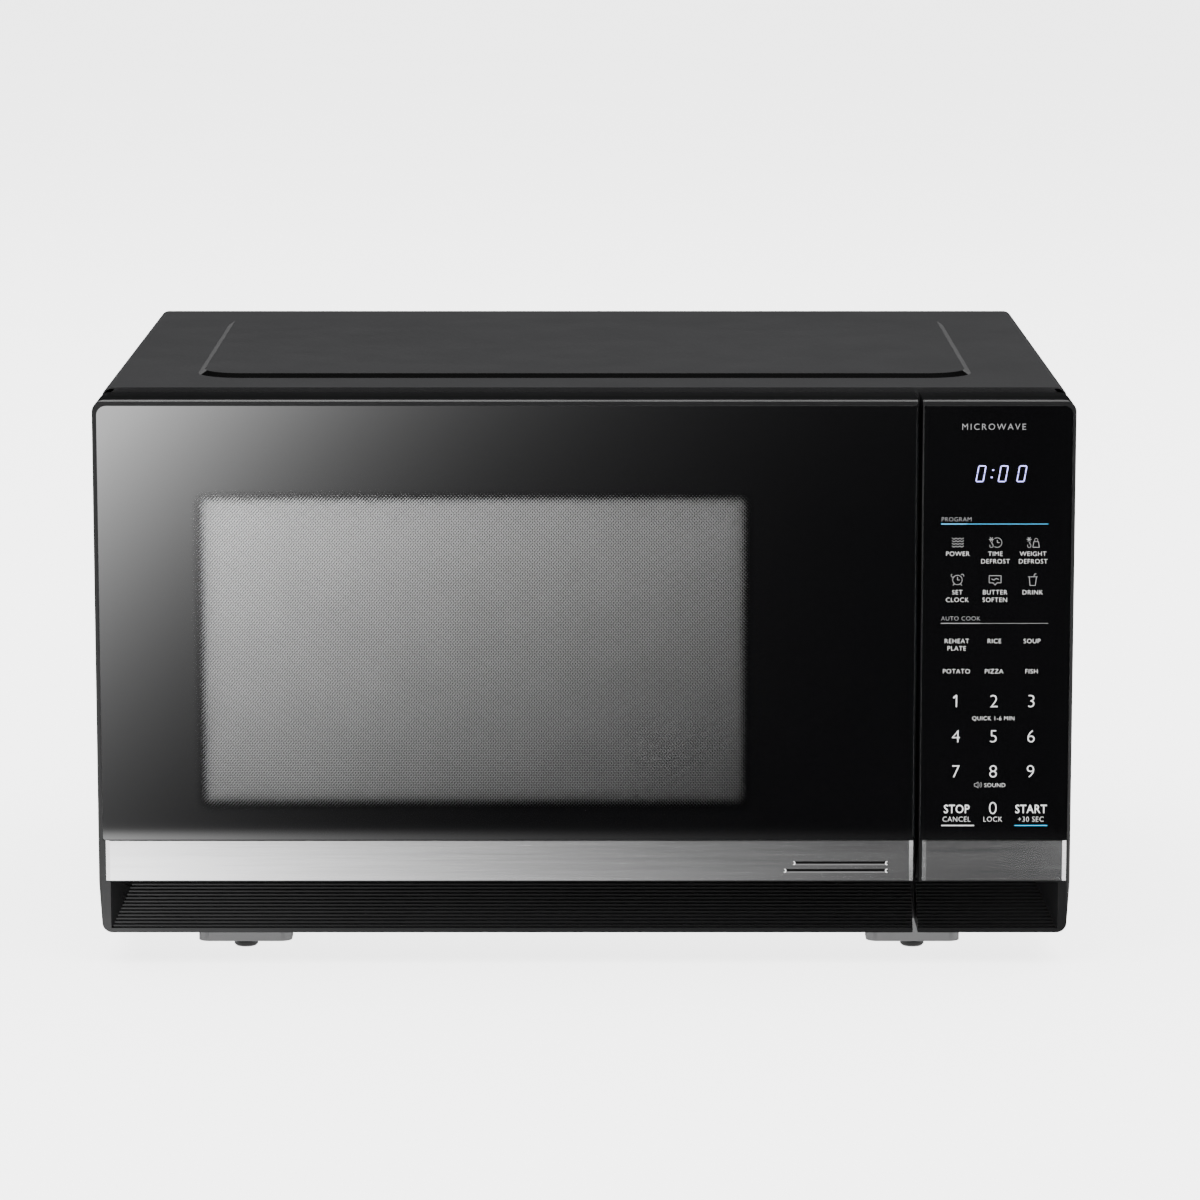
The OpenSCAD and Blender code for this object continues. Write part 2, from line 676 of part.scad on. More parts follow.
module fan_shaft() color([0.8, 0.8, 0.8])
    bar_y(fan_x, fan_z, fan_y - 40, fan_y + 20, fan_shaft_r);

module fan_motor() color([0.5, 0.45, 0.35]) difference() {
    union() {
        block(fan_x - 28, fan_x + 28, fan_y - 30, fan_y - 14, fan_z - 22, fan_z + 22);
        bar_y(fan_x, fan_z, fan_y - 38, fan_y - 8, 10);
        block(fan_x - 14, fan_x + 14, fan_y - 36, fan_y - 8, fan_z - 40, fan_z - 18);
        for (s = [-1, 1]) block(fan_x + s * 44 - 4, fan_x + s * 44 + 4, fan_y - 22, fan_y - 2,
            fan_z - 4, fan_z + 4);
        block(fan_x - 48, fan_x + 48, fan_y - 22, fan_y - 20, fan_z - 4, fan_z + 4);
    }
    bar_y(fan_x, fan_z, fan_y - 50, fan_y, fan_shaft_r + run_fit);
}

module air_duct() color([0.25, 0.25, 0.26]) difference() {
    block(bay_x0, bay_x0 + 70, duct_y0, mag_y - mag_w / 2 - 4, mag_z - 26, mag_z + 26);
    block(bay_x0 - 1, bay_x0 + 68, duct_y0 + 2, mag_y, mag_z - 24, mag_z + 24);
    block(bay_x0 - 1, wg_x1 + 1, mag_y - wg_half - 9, mag_y, mag_z - 30, mag_z + 30);
}

module humidity_sensor() color([0.15, 0.2, 0.5]) {
    block(cav_x0 + 46, cav_x0 + 96, cav_y1 - 64, cav_y1 - 26, cav_z1 + liner_t, cav_z1 + liner_t + 3);
    translate([cav_x0 + 71, cav_y1 - 45, cav_z1 + liner_t + 3]) cylinder(h = 7, r = 8, $fn = full);
}

module thermal_cutouts() color([0.1, 0.1, 0.1]) {
    translate([yoke_x0 + 20, mag_y, mag_z + mag_w / 2]) cylinder(h = 8, r = 8, $fn = full);
    bar_x(mag_y + wg_half + 20, cav_z1 - 60, bay_x0, bay_x0 + 8, 8);
}

// ---- interlock ----

module latch_bracket() color([0.88, 0.87, 0.82]) {
    x0 = latch_x - hook_w / 2 - 5;
    x1 = latch_x + hook_w / 2 + 5;
    y0 = y_cab + sheet;
    z0 = hook_z[0] - 24;
    z1 = hook_z[1] + 24;
    difference() {
        block(x0 - 2, x1 + 2, y0, y0 + 2, z0, z1);
        mouth_slots(slot_side);
    }
    block(x0 - 2, x0, y0, switch_y + switch_l, z0, z1);
    for (z = hook_z) {
        block(x0, x1, y0 + 2, y0 + 14, z - 18, z - 15);
        block(x0, x1, switch_y, switch_y + switch_l, z - switch_h / 2 - 3, z - switch_h / 2 - 0.2);
    }
}

module switch_body(x, z) difference() {
    block(x - switch_w / 2, x + switch_w / 2, switch_y, switch_y + switch_l, z - switch_h / 2,
        z + switch_h / 2);
    block(x - plunger_w / 2 - run_fit, x + plunger_w / 2 + run_fit, switch_y - 1,
        switch_y + plunger_l, z - plunger_w / 2 - run_fit, z + plunger_w / 2 + run_fit);
}

plunger_at = [[latch_x - 3.4, hook_z[1]], [latch_x + 3.4, hook_z[1]], [latch_x, hook_z[0]]];

module interlock_switches() color([0.12, 0.12, 0.12]) for (p = plunger_at) switch_body(p[0], p[1]);

module plunger(i) color([0.85, 0.2, 0.15]) translate([plunger_at[i][0] - plunger_w / 2,
    y_door + hook_reach + ease, plunger_at[i][1] - plunger_w / 2])
        cube([plunger_w, plunger_l, plunger_w]);
module primary_plunger() plunger(0);
module monitor_plunger() plunger(1);
module secondary_plunger() plunger(2);

// ---- hinge ----

module hinge_bracket(z) color([0.65, 0.66, 0.68]) difference() {
    union() {
        translate([axis_x, axis_y, z]) cylinder(h = tongue_t, r = tongue_w / 2, $fn = full);
        block(axis_x - tongue_w / 2 + 3, axis_x + tongue_w / 2, axis_y, y_cab, z, z + tongue_t);
        block(axis_x - tongue_w / 2 + 3, axis_x + tongue_w / 2, y_cab - 0.9, y_cab, z, z + tongue_t);
    }
    translate([axis_x, axis_y, z - 1]) cylinder(h = tongue_t + 2, r = pin_r + run_fit, $fn = full);
}
module hinge_brackets() {
    hinge_bracket(top_tongue);
    hinge_bracket(low_tongue);
}

pin_z = [top_tongue + tongue_t + tongue_gap + 1 - pin_l, low_tongue - tongue_gap - 1];
module hinge_pins() color([0.75, 0.75, 0.76]) for (z = pin_z) translate([axis_x, axis_y, z])
    cylinder(h = pin_l, r = pin_r, $fn = full);

// ---- door and panel ----

// The front's outline, narrower below the strip
module front_outline() {
    x = front_x;
    xt = front_x - taper;
    polygon(concat(
        arc(x - top_r, z_front - top_r, top_r, 0, 90),
        arc(-x + top_r, z_front - top_r, top_r, 90, 180),
        [[-x, strip_z0]],
        arc(-xt + corner_r, z_base + corner_r, corner_r, 180, 270),
        arc(xt - corner_r, z_base + corner_r, corner_r, 270, 360),
        [[x, strip_z0]]));
}

// The finger pocket: a ribbed floor that climbs to the back, and a grip recess behind the strip
function pocket_floor(t) = [pocket_edge + t * (pocket_d - pocket_edge),
    pocket_z0 + t * (pocket_zt - 2 - pocket_z0)];
module pocket_profile() translate([y_face, 0]) polygon(concat(
    [[-2, pocket_z0]],
    [for (i = [0:rib_n - 1], s = [0, 1, 2, 3])
        pocket_floor((i + s / 4) / rib_n) + (s == 1 || s == 2 ? [-rib_h / 2, rib_h] : [0, 0])],
    [pocket_floor(1), [pocket_d, pocket_zt], [pocket_back, pocket_zt], [pocket_back, pocket_top],
        [pocket_wall, pocket_top], [pocket_wall, strip_z0 - 0.6], [-2, strip_z0 - 0.6]]));
module pocket() intersection() {
    along_x(-front_w, front_w) pocket_profile();
    translate([0, 0, -1]) linear_extrude(z_top) polygon([
        [-front_x + pocket_in, y_face - 3], [front_x - pocket_in, y_face - 3],
        [front_x - pocket_in - pocket_slope, y_face + pocket_d + 1],
        [-front_x + pocket_in + pocket_slope, y_face + pocket_d + 1]]);
}

// The recess that a pane is bonded into
module glass_recess(x, round_left) along_y(y_face - 2, web_y) polygon(concat(
    let (r = round_left ? glass_corner : glass_r) arc(x[1] - r, glass_z1 - r, r + bond, 0, 90),
    let (r = round_left ? glass_r : glass_corner) arc(x[0] + r, glass_z1 - r, r + bond, 90, 180),
    [[x[0] - bond, glass_z0 - bond], [x[1] + bond, glass_z0 - bond]]));

module strip_seat(x0, x1) block(x0 - bond, x1 + bond, y_face - 2, y_face + strip_t - strip_proud,
    strip_z0 - bond, glass_z0);

door_strip_x = [-front_x + 4.1, door_x1 - 0.3];
door_glass_x = [-front_x + glass_side, door_x1 - 0.5];
panel_strip_x = [panel_x0 + 1.9, front_x - 2.3];
panel_glass_x = [panel_x0 + 0.7, front_x - 1.9];

// The door's plan, with a round heel at the hinge
module door_plan() polygon(concat(
    arc(-front_x + edge_r, y_face + edge_r, edge_r, 180, 270),
    arc(door_x1 - seam_r, y_face + seam_r, seam_r, 270, 360),
    [[door_x1, y_door]],
    arc(-front_x + heel_r, y_door - heel_r, heel_r, 90, 180)));

module door_shell() color([0.07, 0.07, 0.08]) difference() {
    intersection() {
        along_y(y_face - 1, y_door) front_outline();
        linear_extrude(z_top) door_plan();
    }
    glass_recess([door_glass_x[0], door_x1 + 2], true);
    strip_seat(door_strip_x[0], door_strip_x[1]);
    block(window_x0 - window_rim, window_x1 + window_rim, y_face, y_door,
        window_z0 - window_rim, window_z1 + window_rim);
    block(choke_x0 - ease, hollow_x1, web_y + web_t, y_door + 1, pocket_top + wall, hollow_z1);
    block(choke_x0 - ease, hollow_x1, y_face + pocket_back + wall, y_door + 1, choke_z0 - ease,
        hollow_z1);
    pocket();
    for (z = [top_tongue, low_tongue])
        block(-front_x - 1, axis_x + tongue_w / 2 + 2, axis_y - slot_reach, y_door + 1,
            z - tongue_gap, z + tongue_t + tongue_gap);
    for (z = pin_z) translate([axis_x, axis_y, z]) cylinder(h = pin_l, r = pin_r, $fn = full);
}
// The post that the latch spring pushes against
module spring_post() block(latch_x - 6, latch_x + 6, web_y + web_t - 1, latch_bar_y + hook_t,
    latch_top + spring_l, latch_top + spring_l + wall);
module door_frame() {
    door_shell();
    color([0.07, 0.07, 0.08]) spring_post();
}

// A glass pane; the corner at the front's outer top edge is rounder than the others
module glass_pane(x, round_left) along_y(y_face, y_face + glass_t) polygon(concat(
    let (r = round_left ? glass_corner : glass_r) arc(x[1] - r, glass_z1 - r, r, 0, 90),
    let (r = round_left ? glass_r : glass_corner) arc(x[0] + r, glass_z1 - r, r, 90, 180),
    arc(x[0] + glass_corner, glass_z0 + glass_corner, glass_corner, 180, 270),
    arc(x[1] - glass_corner, glass_z0 + glass_corner, glass_corner, 270, 360)));
module door_glass() color([0.05, 0.05, 0.06]) glass_pane(door_glass_x, true);

module strip(x) along_x(x[0], x[1]) polygon([[y_front + 0.4, strip_z0], [y_front, strip_z0 + 0.6],
    [y_front, strip_z1 - 0.6], [y_front + 0.4, strip_z1], [y_front + strip_t, strip_z1],
    [y_front + strip_t, strip_z0]]);
module door_strip() color([0.7, 0.7, 0.7]) strip(door_strip_x);
module panel_strip() color([0.7, 0.7, 0.7]) strip(panel_strip_x);

module choke_panel() color([0.6, 0.6, 0.6]) difference() {
    union() {
        block(choke_x0, choke_x1, choke_y - screen_t, choke_y, choke_z0, choke_z1);
        block(choke_x0, choke_x1, choke_y - 9, choke_y, choke_z0, choke_z0 + screen_t);
        block(choke_x0, choke_x1, choke_y - 9, choke_y, choke_z1 - screen_t, choke_z1);
        block(choke_x0, choke_x0 + screen_t, choke_y - 9, choke_y, choke_z0, choke_z1);
        block(choke_x1 - screen_t, choke_x1, choke_y - 9, choke_y, choke_z0, choke_z1);
        block(choke_x0 + pan_in, choke_x1 - pan_in, screen_y, choke_y, choke_z0 + pan_in + 3,
            choke_z1 - pan_in);
    }
    block(choke_x0 + pan_in + screen_t, choke_x1 - pan_in - screen_t, screen_y + screen_t,
        choke_y + 1, choke_z0 + pan_in + 3 + screen_t, choke_z1 - pan_in - screen_t);
}

module inner_window() color([0.7, 0.8, 0.8, 0.4]) along_y(screen_y + screen_t,
    screen_y + screen_t + 1)
    rrect(choke_x0 + pan_in + 2, choke_x1 - pan_in - 2, choke_z0 + pan_in + 5,
        choke_z1 - pan_in - 2, 1);

module door_rear_cover() color([0.1, 0.1, 0.11]) difference() {
    block(choke_x0, hollow_x1 - ease, choke_y, y_door, choke_z0, hollow_z1 - ease);
    block(choke_x0 + pan_in + 1, choke_x1 - pan_in - 1, choke_y - 1, y_door + 1,
        choke_z0 + pan_in + 4, choke_z1 - pan_in - 1);
    for (z = hook_z)
        block(latch_x - hook_w / 2 - 1, latch_x + hook_w / 2 + 1, choke_y - 1, y_door + 1,
            z - hook_h / 2 - hook_nose - 1, z + hook_h / 2 + latch_travel + 1);
}

module latch_hooks() color([0.85, 0.84, 0.8]) {
    block(latch_x - 4, latch_x + 4, latch_bar_y, latch_bar_y + hook_t, hook_z[0] - hook_h / 2,
        hook_z[1] + hook_h / 2);
    for (z = hook_z) along_x(latch_x - hook_w / 2, latch_x + hook_w / 2) polygon([
        [latch_bar_y, z - hook_h / 2], [y_door + hook_reach - 7, z - hook_h / 2],
        [y_door + hook_reach - 7, z - hook_h / 2 - hook_nose],
        [y_door + hook_reach - 4, z - hook_h / 2 - hook_nose],
        [y_door + hook_reach, z - 1], [y_door + hook_reach, z + hook_h / 2],
        [latch_bar_y, z + hook_h / 2]]);
}

// One point of the latch spring's wire: turn u, angle v round the wire
function spring_point(u, v) = let (r = spring_r + spring_wire * cos(v))
    [r * cos(roll * u), r * sin(roll * u),
        spring_wire + (spring_l - 2 * spring_wire) * u / spring_turns + spring_wire * sin(v)];
module latch_spring() color([0.75, 0.75, 0.76]) {
    rings = spring_turns * spring_steps;
    translate([latch_x, latch_bar_y + hook_t / 2, latch_top]) polyhedron(
        points = [for (i = [0:rings], j = [0:spring_sides - 1])
            spring_point(i / spring_steps, roll * j / spring_sides)],
        faces = concat(
            [[for (j = [0:spring_sides - 1]) j]],
            [[for (j = [0:spring_sides - 1]) rings * spring_sides + spring_sides - 1 - j]],
            [for (i = [0:rings - 1], j = [0:spring_sides - 1]) let (k = (j + 1) % spring_sides)
                [i * spring_sides + j, (i + 1) * spring_sides + j,
                    (i + 1) * spring_sides + k, i * spring_sides + k]]));
}

module panel_plan() polygon(concat(
    arc(panel_x0 + seam_r, y_face + seam_r, seam_r, 180, 270),
    arc(front_x - edge_r, y_face + edge_r, edge_r, 270, 360),
    [[front_x, y_door], [panel_x0, y_door]]));

module panel_body() color([0.07, 0.07, 0.08]) difference() {
    union() {
        intersection() {
            along_y(y_face - 1, y_door) front_outline();
            linear_extrude(z_top) panel_plan();
        }
        block(panel_x0 + 3, bay_x1 - 2, y_door - 1, y_cab, z_base + 3, z_front - 3);
    }
    glass_recess(panel_glass_x, false);
    strip_seat(panel_strip_x[0], panel_strip_x[1]);
    block(panel_x0 + wall + 3, bay_x1 - 2 - wall, web_y + web_t, y_cab + 1, pocket_top + wall,
        z_front - wall - 3);
    block(panel_x0 + 8, front_x - 8, y_face, web_y + 3, pocket_top + 12, z_front - 8);
    pocket();
}

module panel_glass() color([0.04, 0.04, 0.05]) glass_pane(panel_glass_x, false);

module control_board() color([0.1, 0.36, 0.2]) {
    block(panel_x0 + 9, front_x - 9, y_face + 12, y_face + 13.6, strip_z1 + 8, z_front - 14);
    block(panel_x0 + 14, panel_x0 + 30, y_face + 13.6, y_face + 27, cav_z0 + 30, cav_z0 + 50);
    block(panel_x0 + 36, panel_x0 + 52, y_face + 13.6, y_face + 27, cav_z0 + 30, cav_z0 + 50);
    for (i = [0:2]) bar_y(panel_x0 + 20 + i * 16, cav_z0 + 90, y_face + 13.6, y_face + 24, 5);
}

module display_module() color([0.02, 0.02, 0.03])
    block(panel_x0 + 15, front_x - 17, web_y + 0.2, y_face + 12, z_front - 50, z_front - 28);

cabinet_wrap();
back_plate();
base_plate();
feet();
cabinet_screws();
cord_gland();
rear_spacers();
front_plate();
cavity_liner();
waveguide_cover();
cavity_lamp();
lamp_holder();
glass_tray();
roller_ring();
ring_roller_1();
ring_roller_2();
ring_roller_3();
drive_coupler();
turntable_shaft();
turntable_motor();
waveguide();
magnetron_tube();
magnetron_fins();
magnetron_magnets();
magnetron_yoke();
magnetron_filter_box();
inverter_board();
inverter_heat_sink();
inverter_transformer();
inverter_capacitors();
board_posts();
mains_filter_board();
mains_fuse();
fan_shroud();
fan_motor();
fan_shaft();
fan_blade();
air_duct();
humidity_sensor();
thermal_cutouts();
latch_bracket();
interlock_switches();
primary_plunger();
monitor_plunger();
secondary_plunger();
hinge_brackets();
hinge_pins();
latch_spring();
door_frame();
door_glass();
door_strip();
choke_panel();
inner_window();
door_rear_cover();
latch_hooks();
panel_body();
panel_glass();
panel_strip();
control_board();
display_module();
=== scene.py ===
import json
import math
import bpy
import bmesh
from mathutils import Matrix, Vector

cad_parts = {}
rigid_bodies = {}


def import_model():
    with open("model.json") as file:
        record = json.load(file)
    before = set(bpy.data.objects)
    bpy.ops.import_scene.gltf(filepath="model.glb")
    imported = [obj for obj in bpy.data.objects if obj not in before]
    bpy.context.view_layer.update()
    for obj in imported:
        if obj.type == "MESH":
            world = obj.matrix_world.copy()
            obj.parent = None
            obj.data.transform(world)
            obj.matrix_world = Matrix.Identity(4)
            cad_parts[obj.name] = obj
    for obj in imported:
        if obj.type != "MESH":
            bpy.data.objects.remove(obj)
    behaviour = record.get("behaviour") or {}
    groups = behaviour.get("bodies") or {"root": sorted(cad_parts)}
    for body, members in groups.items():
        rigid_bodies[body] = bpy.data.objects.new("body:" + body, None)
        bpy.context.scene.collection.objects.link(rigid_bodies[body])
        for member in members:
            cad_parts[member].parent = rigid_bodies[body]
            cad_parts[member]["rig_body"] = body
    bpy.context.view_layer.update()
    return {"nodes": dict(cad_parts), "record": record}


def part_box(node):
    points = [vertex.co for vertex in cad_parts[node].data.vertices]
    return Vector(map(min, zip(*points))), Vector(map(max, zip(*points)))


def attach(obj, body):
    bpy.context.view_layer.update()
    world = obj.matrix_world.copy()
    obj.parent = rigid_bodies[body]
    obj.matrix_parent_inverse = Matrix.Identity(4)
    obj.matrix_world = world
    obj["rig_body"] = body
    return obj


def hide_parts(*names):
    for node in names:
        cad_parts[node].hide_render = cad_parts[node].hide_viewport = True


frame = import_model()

nodes = frame["nodes"]
mm = 0.001


# sums on sockets, and one way to add any other node
class Wire:
    def __init__(self, finish, socket):
        self.finish = finish
        self.socket = socket

    def math(self, operation, *others):
        values = {0: self, **dict(enumerate(others, 1))}
        return self.finish.node("ShaderNodeMath", {"operation": operation}, values)

    def __add__(self, other):
        return self.math("ADD", other)

    def __sub__(self, other):
        return self.math("SUBTRACT", other)

    def __rsub__(self, other):
        return self.finish.node("ShaderNodeMath", {"operation": "SUBTRACT"}, {0: other, 1: self})

    def __mul__(self, other):
        return self.math("MULTIPLY", other)

    def __truediv__(self, other):
        return self.math("DIVIDE", other)

    __radd__ = __add__
    __rmul__ = __mul__


class Finish:
    def __init__(self, name, metallic=0.0, constants=None):
        self.material = bpy.data.materials.new(name)
        self.material.use_nodes = True
        self.tree = self.material.node_tree
        self.shader = self.tree.nodes["Principled BSDF"]
        self.shader.inputs["Metallic"].default_value = metallic
        for socketName, value in (constants or {}).items():
            self.shader.inputs[socketName].default_value = value
        self.coords = self.node("ShaderNodeTexCoord", output="Object")

    def node(self, kind, settings=None, values=None, output=0):
        made = self.tree.nodes.new(kind)
        for key, value in (settings or {}).items():
            setattr(made, key, value)
        for key, value in (values or {}).items():
            if isinstance(value, Wire):
                self.tree.links.new(value.socket, made.inputs[key])
            else:
                made.inputs[key].default_value = value
        return Wire(self, made.outputs[output])

    def axes(self):
        parts = self.tree.nodes.new("ShaderNodeSeparateXYZ")
        self.tree.links.new(self.coords.socket, parts.inputs[0])
        return [Wire(self, parts.outputs[i]) for i in range(3)]

    def stretched(self, scale):
        return self.node("ShaderNodeMapping", None, {0: self.coords, 3: scale})

    def noise(self, scale, detail=3.0, rough=0.5, vector=None):
        return self.node("ShaderNodeTexNoise", None, {"Vector": vector or self.coords, "Scale": scale,
                                                      "Detail": detail, "Roughness": rough})

    def step(self, value, low, high):
        return self.node("ShaderNodeMapRange", {"interpolation_type": "SMOOTHSTEP"},
                         {0: value, 1: low, 2: high, 3: 0.0, 4: 1.0})

    def mix(self, factor, first, second):
        made = self.tree.nodes.new("ShaderNodeMix")
        made.data_type = "RGBA"
        for index, value in ((0, factor), (6, first), (7, second)):
            if isinstance(value, Wire):
                self.tree.links.new(value.socket, made.inputs[index])
            elif index:
                made.inputs[index].default_value = (*value, 1)
            else:
                made.inputs[index].default_value = value
        return Wire(self, made.outputs[2])

    def feed(self, socketName, wire):
        self.tree.links.new(wire.socket, self.shader.inputs[socketName])

    def bump(self, height, strength, distance):
        self.feed("Normal", self.node("ShaderNodeBump", None,
                                      {"Strength": strength, "Distance": distance, "Height": height}))


bumpDepth = {"grain": 0.12 * mm, "peel": 0.2 * mm, "metal": 0.08 * mm, "brushed": 0.05 * mm, "hole": 0.3 * mm}
lowGloss = {"Specular IOR Level": 0.3}


def shade(tone, factor):
    return tuple(channel * factor for channel in tone)


def plastic(name, tone, roughness=0.45, grain=0.35, grainScale=2600, constants=None):
    # moulded plastic: cloudy colour, spark-eroded grain
    finish = Finish(name, constants=constants)
    cloud = finish.noise(scale=14, detail=4)
    finish.feed("Base Color", finish.mix(cloud, shade(tone, 0.82), shade(tone, 1.16)))
    finish.feed("Roughness", finish.noise(scale=60, detail=2) * 0.12 + (roughness - 0.06))
    finish.bump(finish.noise(grainScale, detail=2), grain, bumpDepth["grain"])
    return finish.material


def paint(name, tone, roughness=0.42, peel=0.3):
    # baked paint on sheet steel: orange peel and a fine sparkle of texture
    finish = Finish(name)
    cloud = finish.noise(scale=9, detail=5)
    finish.feed("Base Color", finish.mix(cloud, shade(tone, 0.94), shade(tone, 1.06)))
    finish.feed("Roughness", finish.noise(scale=35, detail=3) * 0.14 + (roughness - 0.07))
    skin = finish.noise(scale=900, detail=3) + finish.noise(scale=3200, detail=1) * 0.5
    finish.bump(skin, peel, bumpDepth["peel"])
    return finish.material


def metal(name, tone, roughness=0.3, stretch=(1, 1, 1), scale=300, contrast=0.12, depth=0.15):
    # bare or plated metal, its grain drawn out along the long axis of stretch
    finish = Finish(name, metallic=1.0)
    grain = finish.noise(scale, detail=4, rough=0.6, vector=finish.stretched(stretch))
    finish.feed("Base Color", finish.mix(grain, shade(tone, 1 - contrast), shade(tone, 1 + contrast * 0.6)))
    finish.feed("Roughness", grain * 0.16 + (roughness - 0.08))
    finish.bump(grain, depth, bumpDepth["metal"])
    return finish.material


def clear(name, tone, alpha, roughness=0.03):
    # a clear sheet or dish: faint waviness, thin enough to see through
    finish = Finish(name, constants={"IOR": 1.5})
    finish.material.surface_render_method = "BLENDED"
    finish.feed("Base Color", finish.mix(finish.noise(scale=12, detail=2), shade(tone, 0.92), tone))
    finish.feed("Roughness", finish.noise(scale=20, detail=2) * 0.04 + roughness)
    finish.feed("Alpha", finish.noise(scale=7, detail=1) * 0.06 + (alpha - 0.03))
    return finish.material


def glow(name, tone, strength):
    # a lit or brightly printed mark
    finish = Finish(name, constants={"Roughness": 0.5, "Emission Strength": strength})
    speck = finish.noise(scale=1800, detail=1)
    finish.feed("Base Color", finish.mix(speck, shade(tone, 0.9), tone))
    finish.feed("Emission Color", finish.mix(speck, shade(tone, 0.92), tone))
    return finish.material


# camera, floor and the studio's lights and cards
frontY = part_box("door_strip")[0].y
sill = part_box("door_frame")[0].z
studio = {"lens": 154.9, "sensor": 36, "distance": 2.7017, "pitch": 9.419, "aimX": 0.00825, "aimZ": 0.19539,
          "clipEnd": 50, "world": 0.6, "floorHalf": 30, "floorGlow": 3.96, "topPower": 330, "topHeight": 3.0,
          "topSize": 6}
mirror = {"height": 0.285, "left": -0.228, "bright": 9.5, "fall": 0.08, "drift": 0.075, "most": 13.0,
          "nearTop": 0.066, "blendBelow": 4 * mm, "blendAbove": 2 * mm, "near": 5.5, "nearDrift": 0.11,
          "nearLeast": 0.03, "nearMost": 7.0, "edge": 0.31, "reach": 3.2, "sides": 3.5, "side": 2.0,
          "sideReach": 1.0, "sideBack": 0.1, "behind": 4, "low": 3 * mm, "wide": 4, "tall": 2.5, "back": 1.0}


def floorFinish():
    finish = Finish("floorPaint", constants={"Roughness": 0.85, "Emission Strength": studio["floorGlow"],
                                             "Specular IOR Level": 0})
    tone = finish.mix(finish.noise(scale=2.5, detail=2), (0.84, 0.84, 0.84), (0.87, 0.87, 0.87))
    finish.feed("Base Color", tone)
    finish.feed("Emission Color", tone)
    return finish.material


def cardFinish(name, glowOf):
    # a card that only reflections see; glowOf gives its brightness from the finish
    finish = Finish(name, constants={"Base Color": (0, 0, 0, 1), "Roughness": 1.0, "Emission Strength": 1.0,
                                     "Specular IOR Level": 0})
    finish.feed("Emission Color", glowOf(finish))
    return finish.material


def frontGlow(finish):
    # a gradient card: brightest high on the front's left, with a fainter band low down;
    # across and up are where the front mirrors a spot of the card in the main view
    x, y, z = finish.axes()
    pitch = math.radians(studio["pitch"])
    reach = studio["distance"] * math.cos(pitch)
    height = studio["aimZ"] + studio["distance"] * math.sin(pitch)
    ahead = y * -1 + frontY
    spread = ahead / reach + 1
    across = (x - studio["aimX"]) / spread + studio["aimX"]
    up = ahead * (height / reach) / spread
    fromLeft = across - mirror["left"]
    broad = ((up - mirror["height"]) / mirror["fall"] - fromLeft / mirror["drift"]).math("EXPONENT")
    broad = (broad * mirror["bright"]).math("MINIMUM", mirror["most"])
    near = (fromLeft / -mirror["nearDrift"]).math("EXPONENT") * mirror["near"] + mirror["nearLeast"]
    near = near.math("MINIMUM", mirror["nearMost"])
    blend = (mirror["nearTop"] - mirror["blendBelow"], mirror["nearTop"] + mirror["blendAbove"])
    share = finish.step(up, *blend)
    return broad * share + near * (1 - share)


def evenGlow(strength):
    return lambda finish: finish.noise(scale=1.5, detail=1) * 0.1 * strength + 0.95 * strength


def reflectionCard(name, corners, glowOf):
    mesh = bpy.data.meshes.new(name)
    bm = bmesh.new()
    bm.faces.new([bm.verts.new(corner) for corner in corners])
    bm.to_mesh(mesh)
    bm.free()
    card = bpy.data.objects.new(name, mesh)
    bpy.context.scene.collection.objects.link(card)
    mesh.materials.append(cardFinish(name + "Paper", glowOf))
    card.visible_camera = card.visible_diffuse = card.visible_transmission = False
    card.visible_volume_scatter = card.visible_shadow = False


def areaLight(name, place, target, size, power):
    data = bpy.data.lights.new(name, "AREA")
    data.shape = "RECTANGLE"
    data.size, data.size_y = size
    data.energy = power
    lamp = bpy.data.objects.new(name, data)
    lamp.location = place
    lamp.rotation_euler = (Vector(target) - Vector(place)).to_track_quat("-Z", "Y").to_euler()
    bpy.context.scene.collection.objects.link(lamp)
    return lamp


def makeStudio():
    front = Vector((studio["aimX"], frontY, studio["aimZ"]))
    pitch = math.radians(studio["pitch"])
    back = Vector((0, -math.cos(pitch), math.sin(pitch)))
    cameraData = bpy.data.cameras.new("camera")
    cameraData.lens = studio["lens"]
    cameraData.sensor_width = studio["sensor"]
    cameraData.clip_end = studio["clipEnd"]
    camera = bpy.data.objects.new("camera", cameraData)
    camera.location = front + back * studio["distance"]
    camera.rotation_euler = (-back).to_track_quat("-Z", "Y").to_euler()
    bpy.context.scene.collection.objects.link(camera)
    bpy.context.scene.camera = camera

    floorMesh = bpy.data.meshes.new("floor")
    bm = bmesh.new()
    bmesh.ops.create_grid(bm, x_segments=2, y_segments=2, size=studio["floorHalf"])
    bm.to_mesh(floorMesh)
    bm.free()
    floor = bpy.data.objects.new("floor", floorMesh)
    bpy.context.scene.collection.objects.link(floor)
    floorMesh.materials.append(floorFinish())

    world = bpy.data.worlds.new("studioAir")
    bpy.context.scene.world = world
    world.use_nodes = True
    world.node_tree.nodes["Background"].inputs[0].default_value = (1, 1, 1, 1)
    world.node_tree.nodes["Background"].inputs[1].default_value = studio["world"]

    topLight = areaLight("topLight", (0, 0, studio["topHeight"]), (0, 0, 0),
                         (studio["topSize"], studio["topSize"]), studio["topPower"])
    topLight.visible_glossy = False
    makeCards()


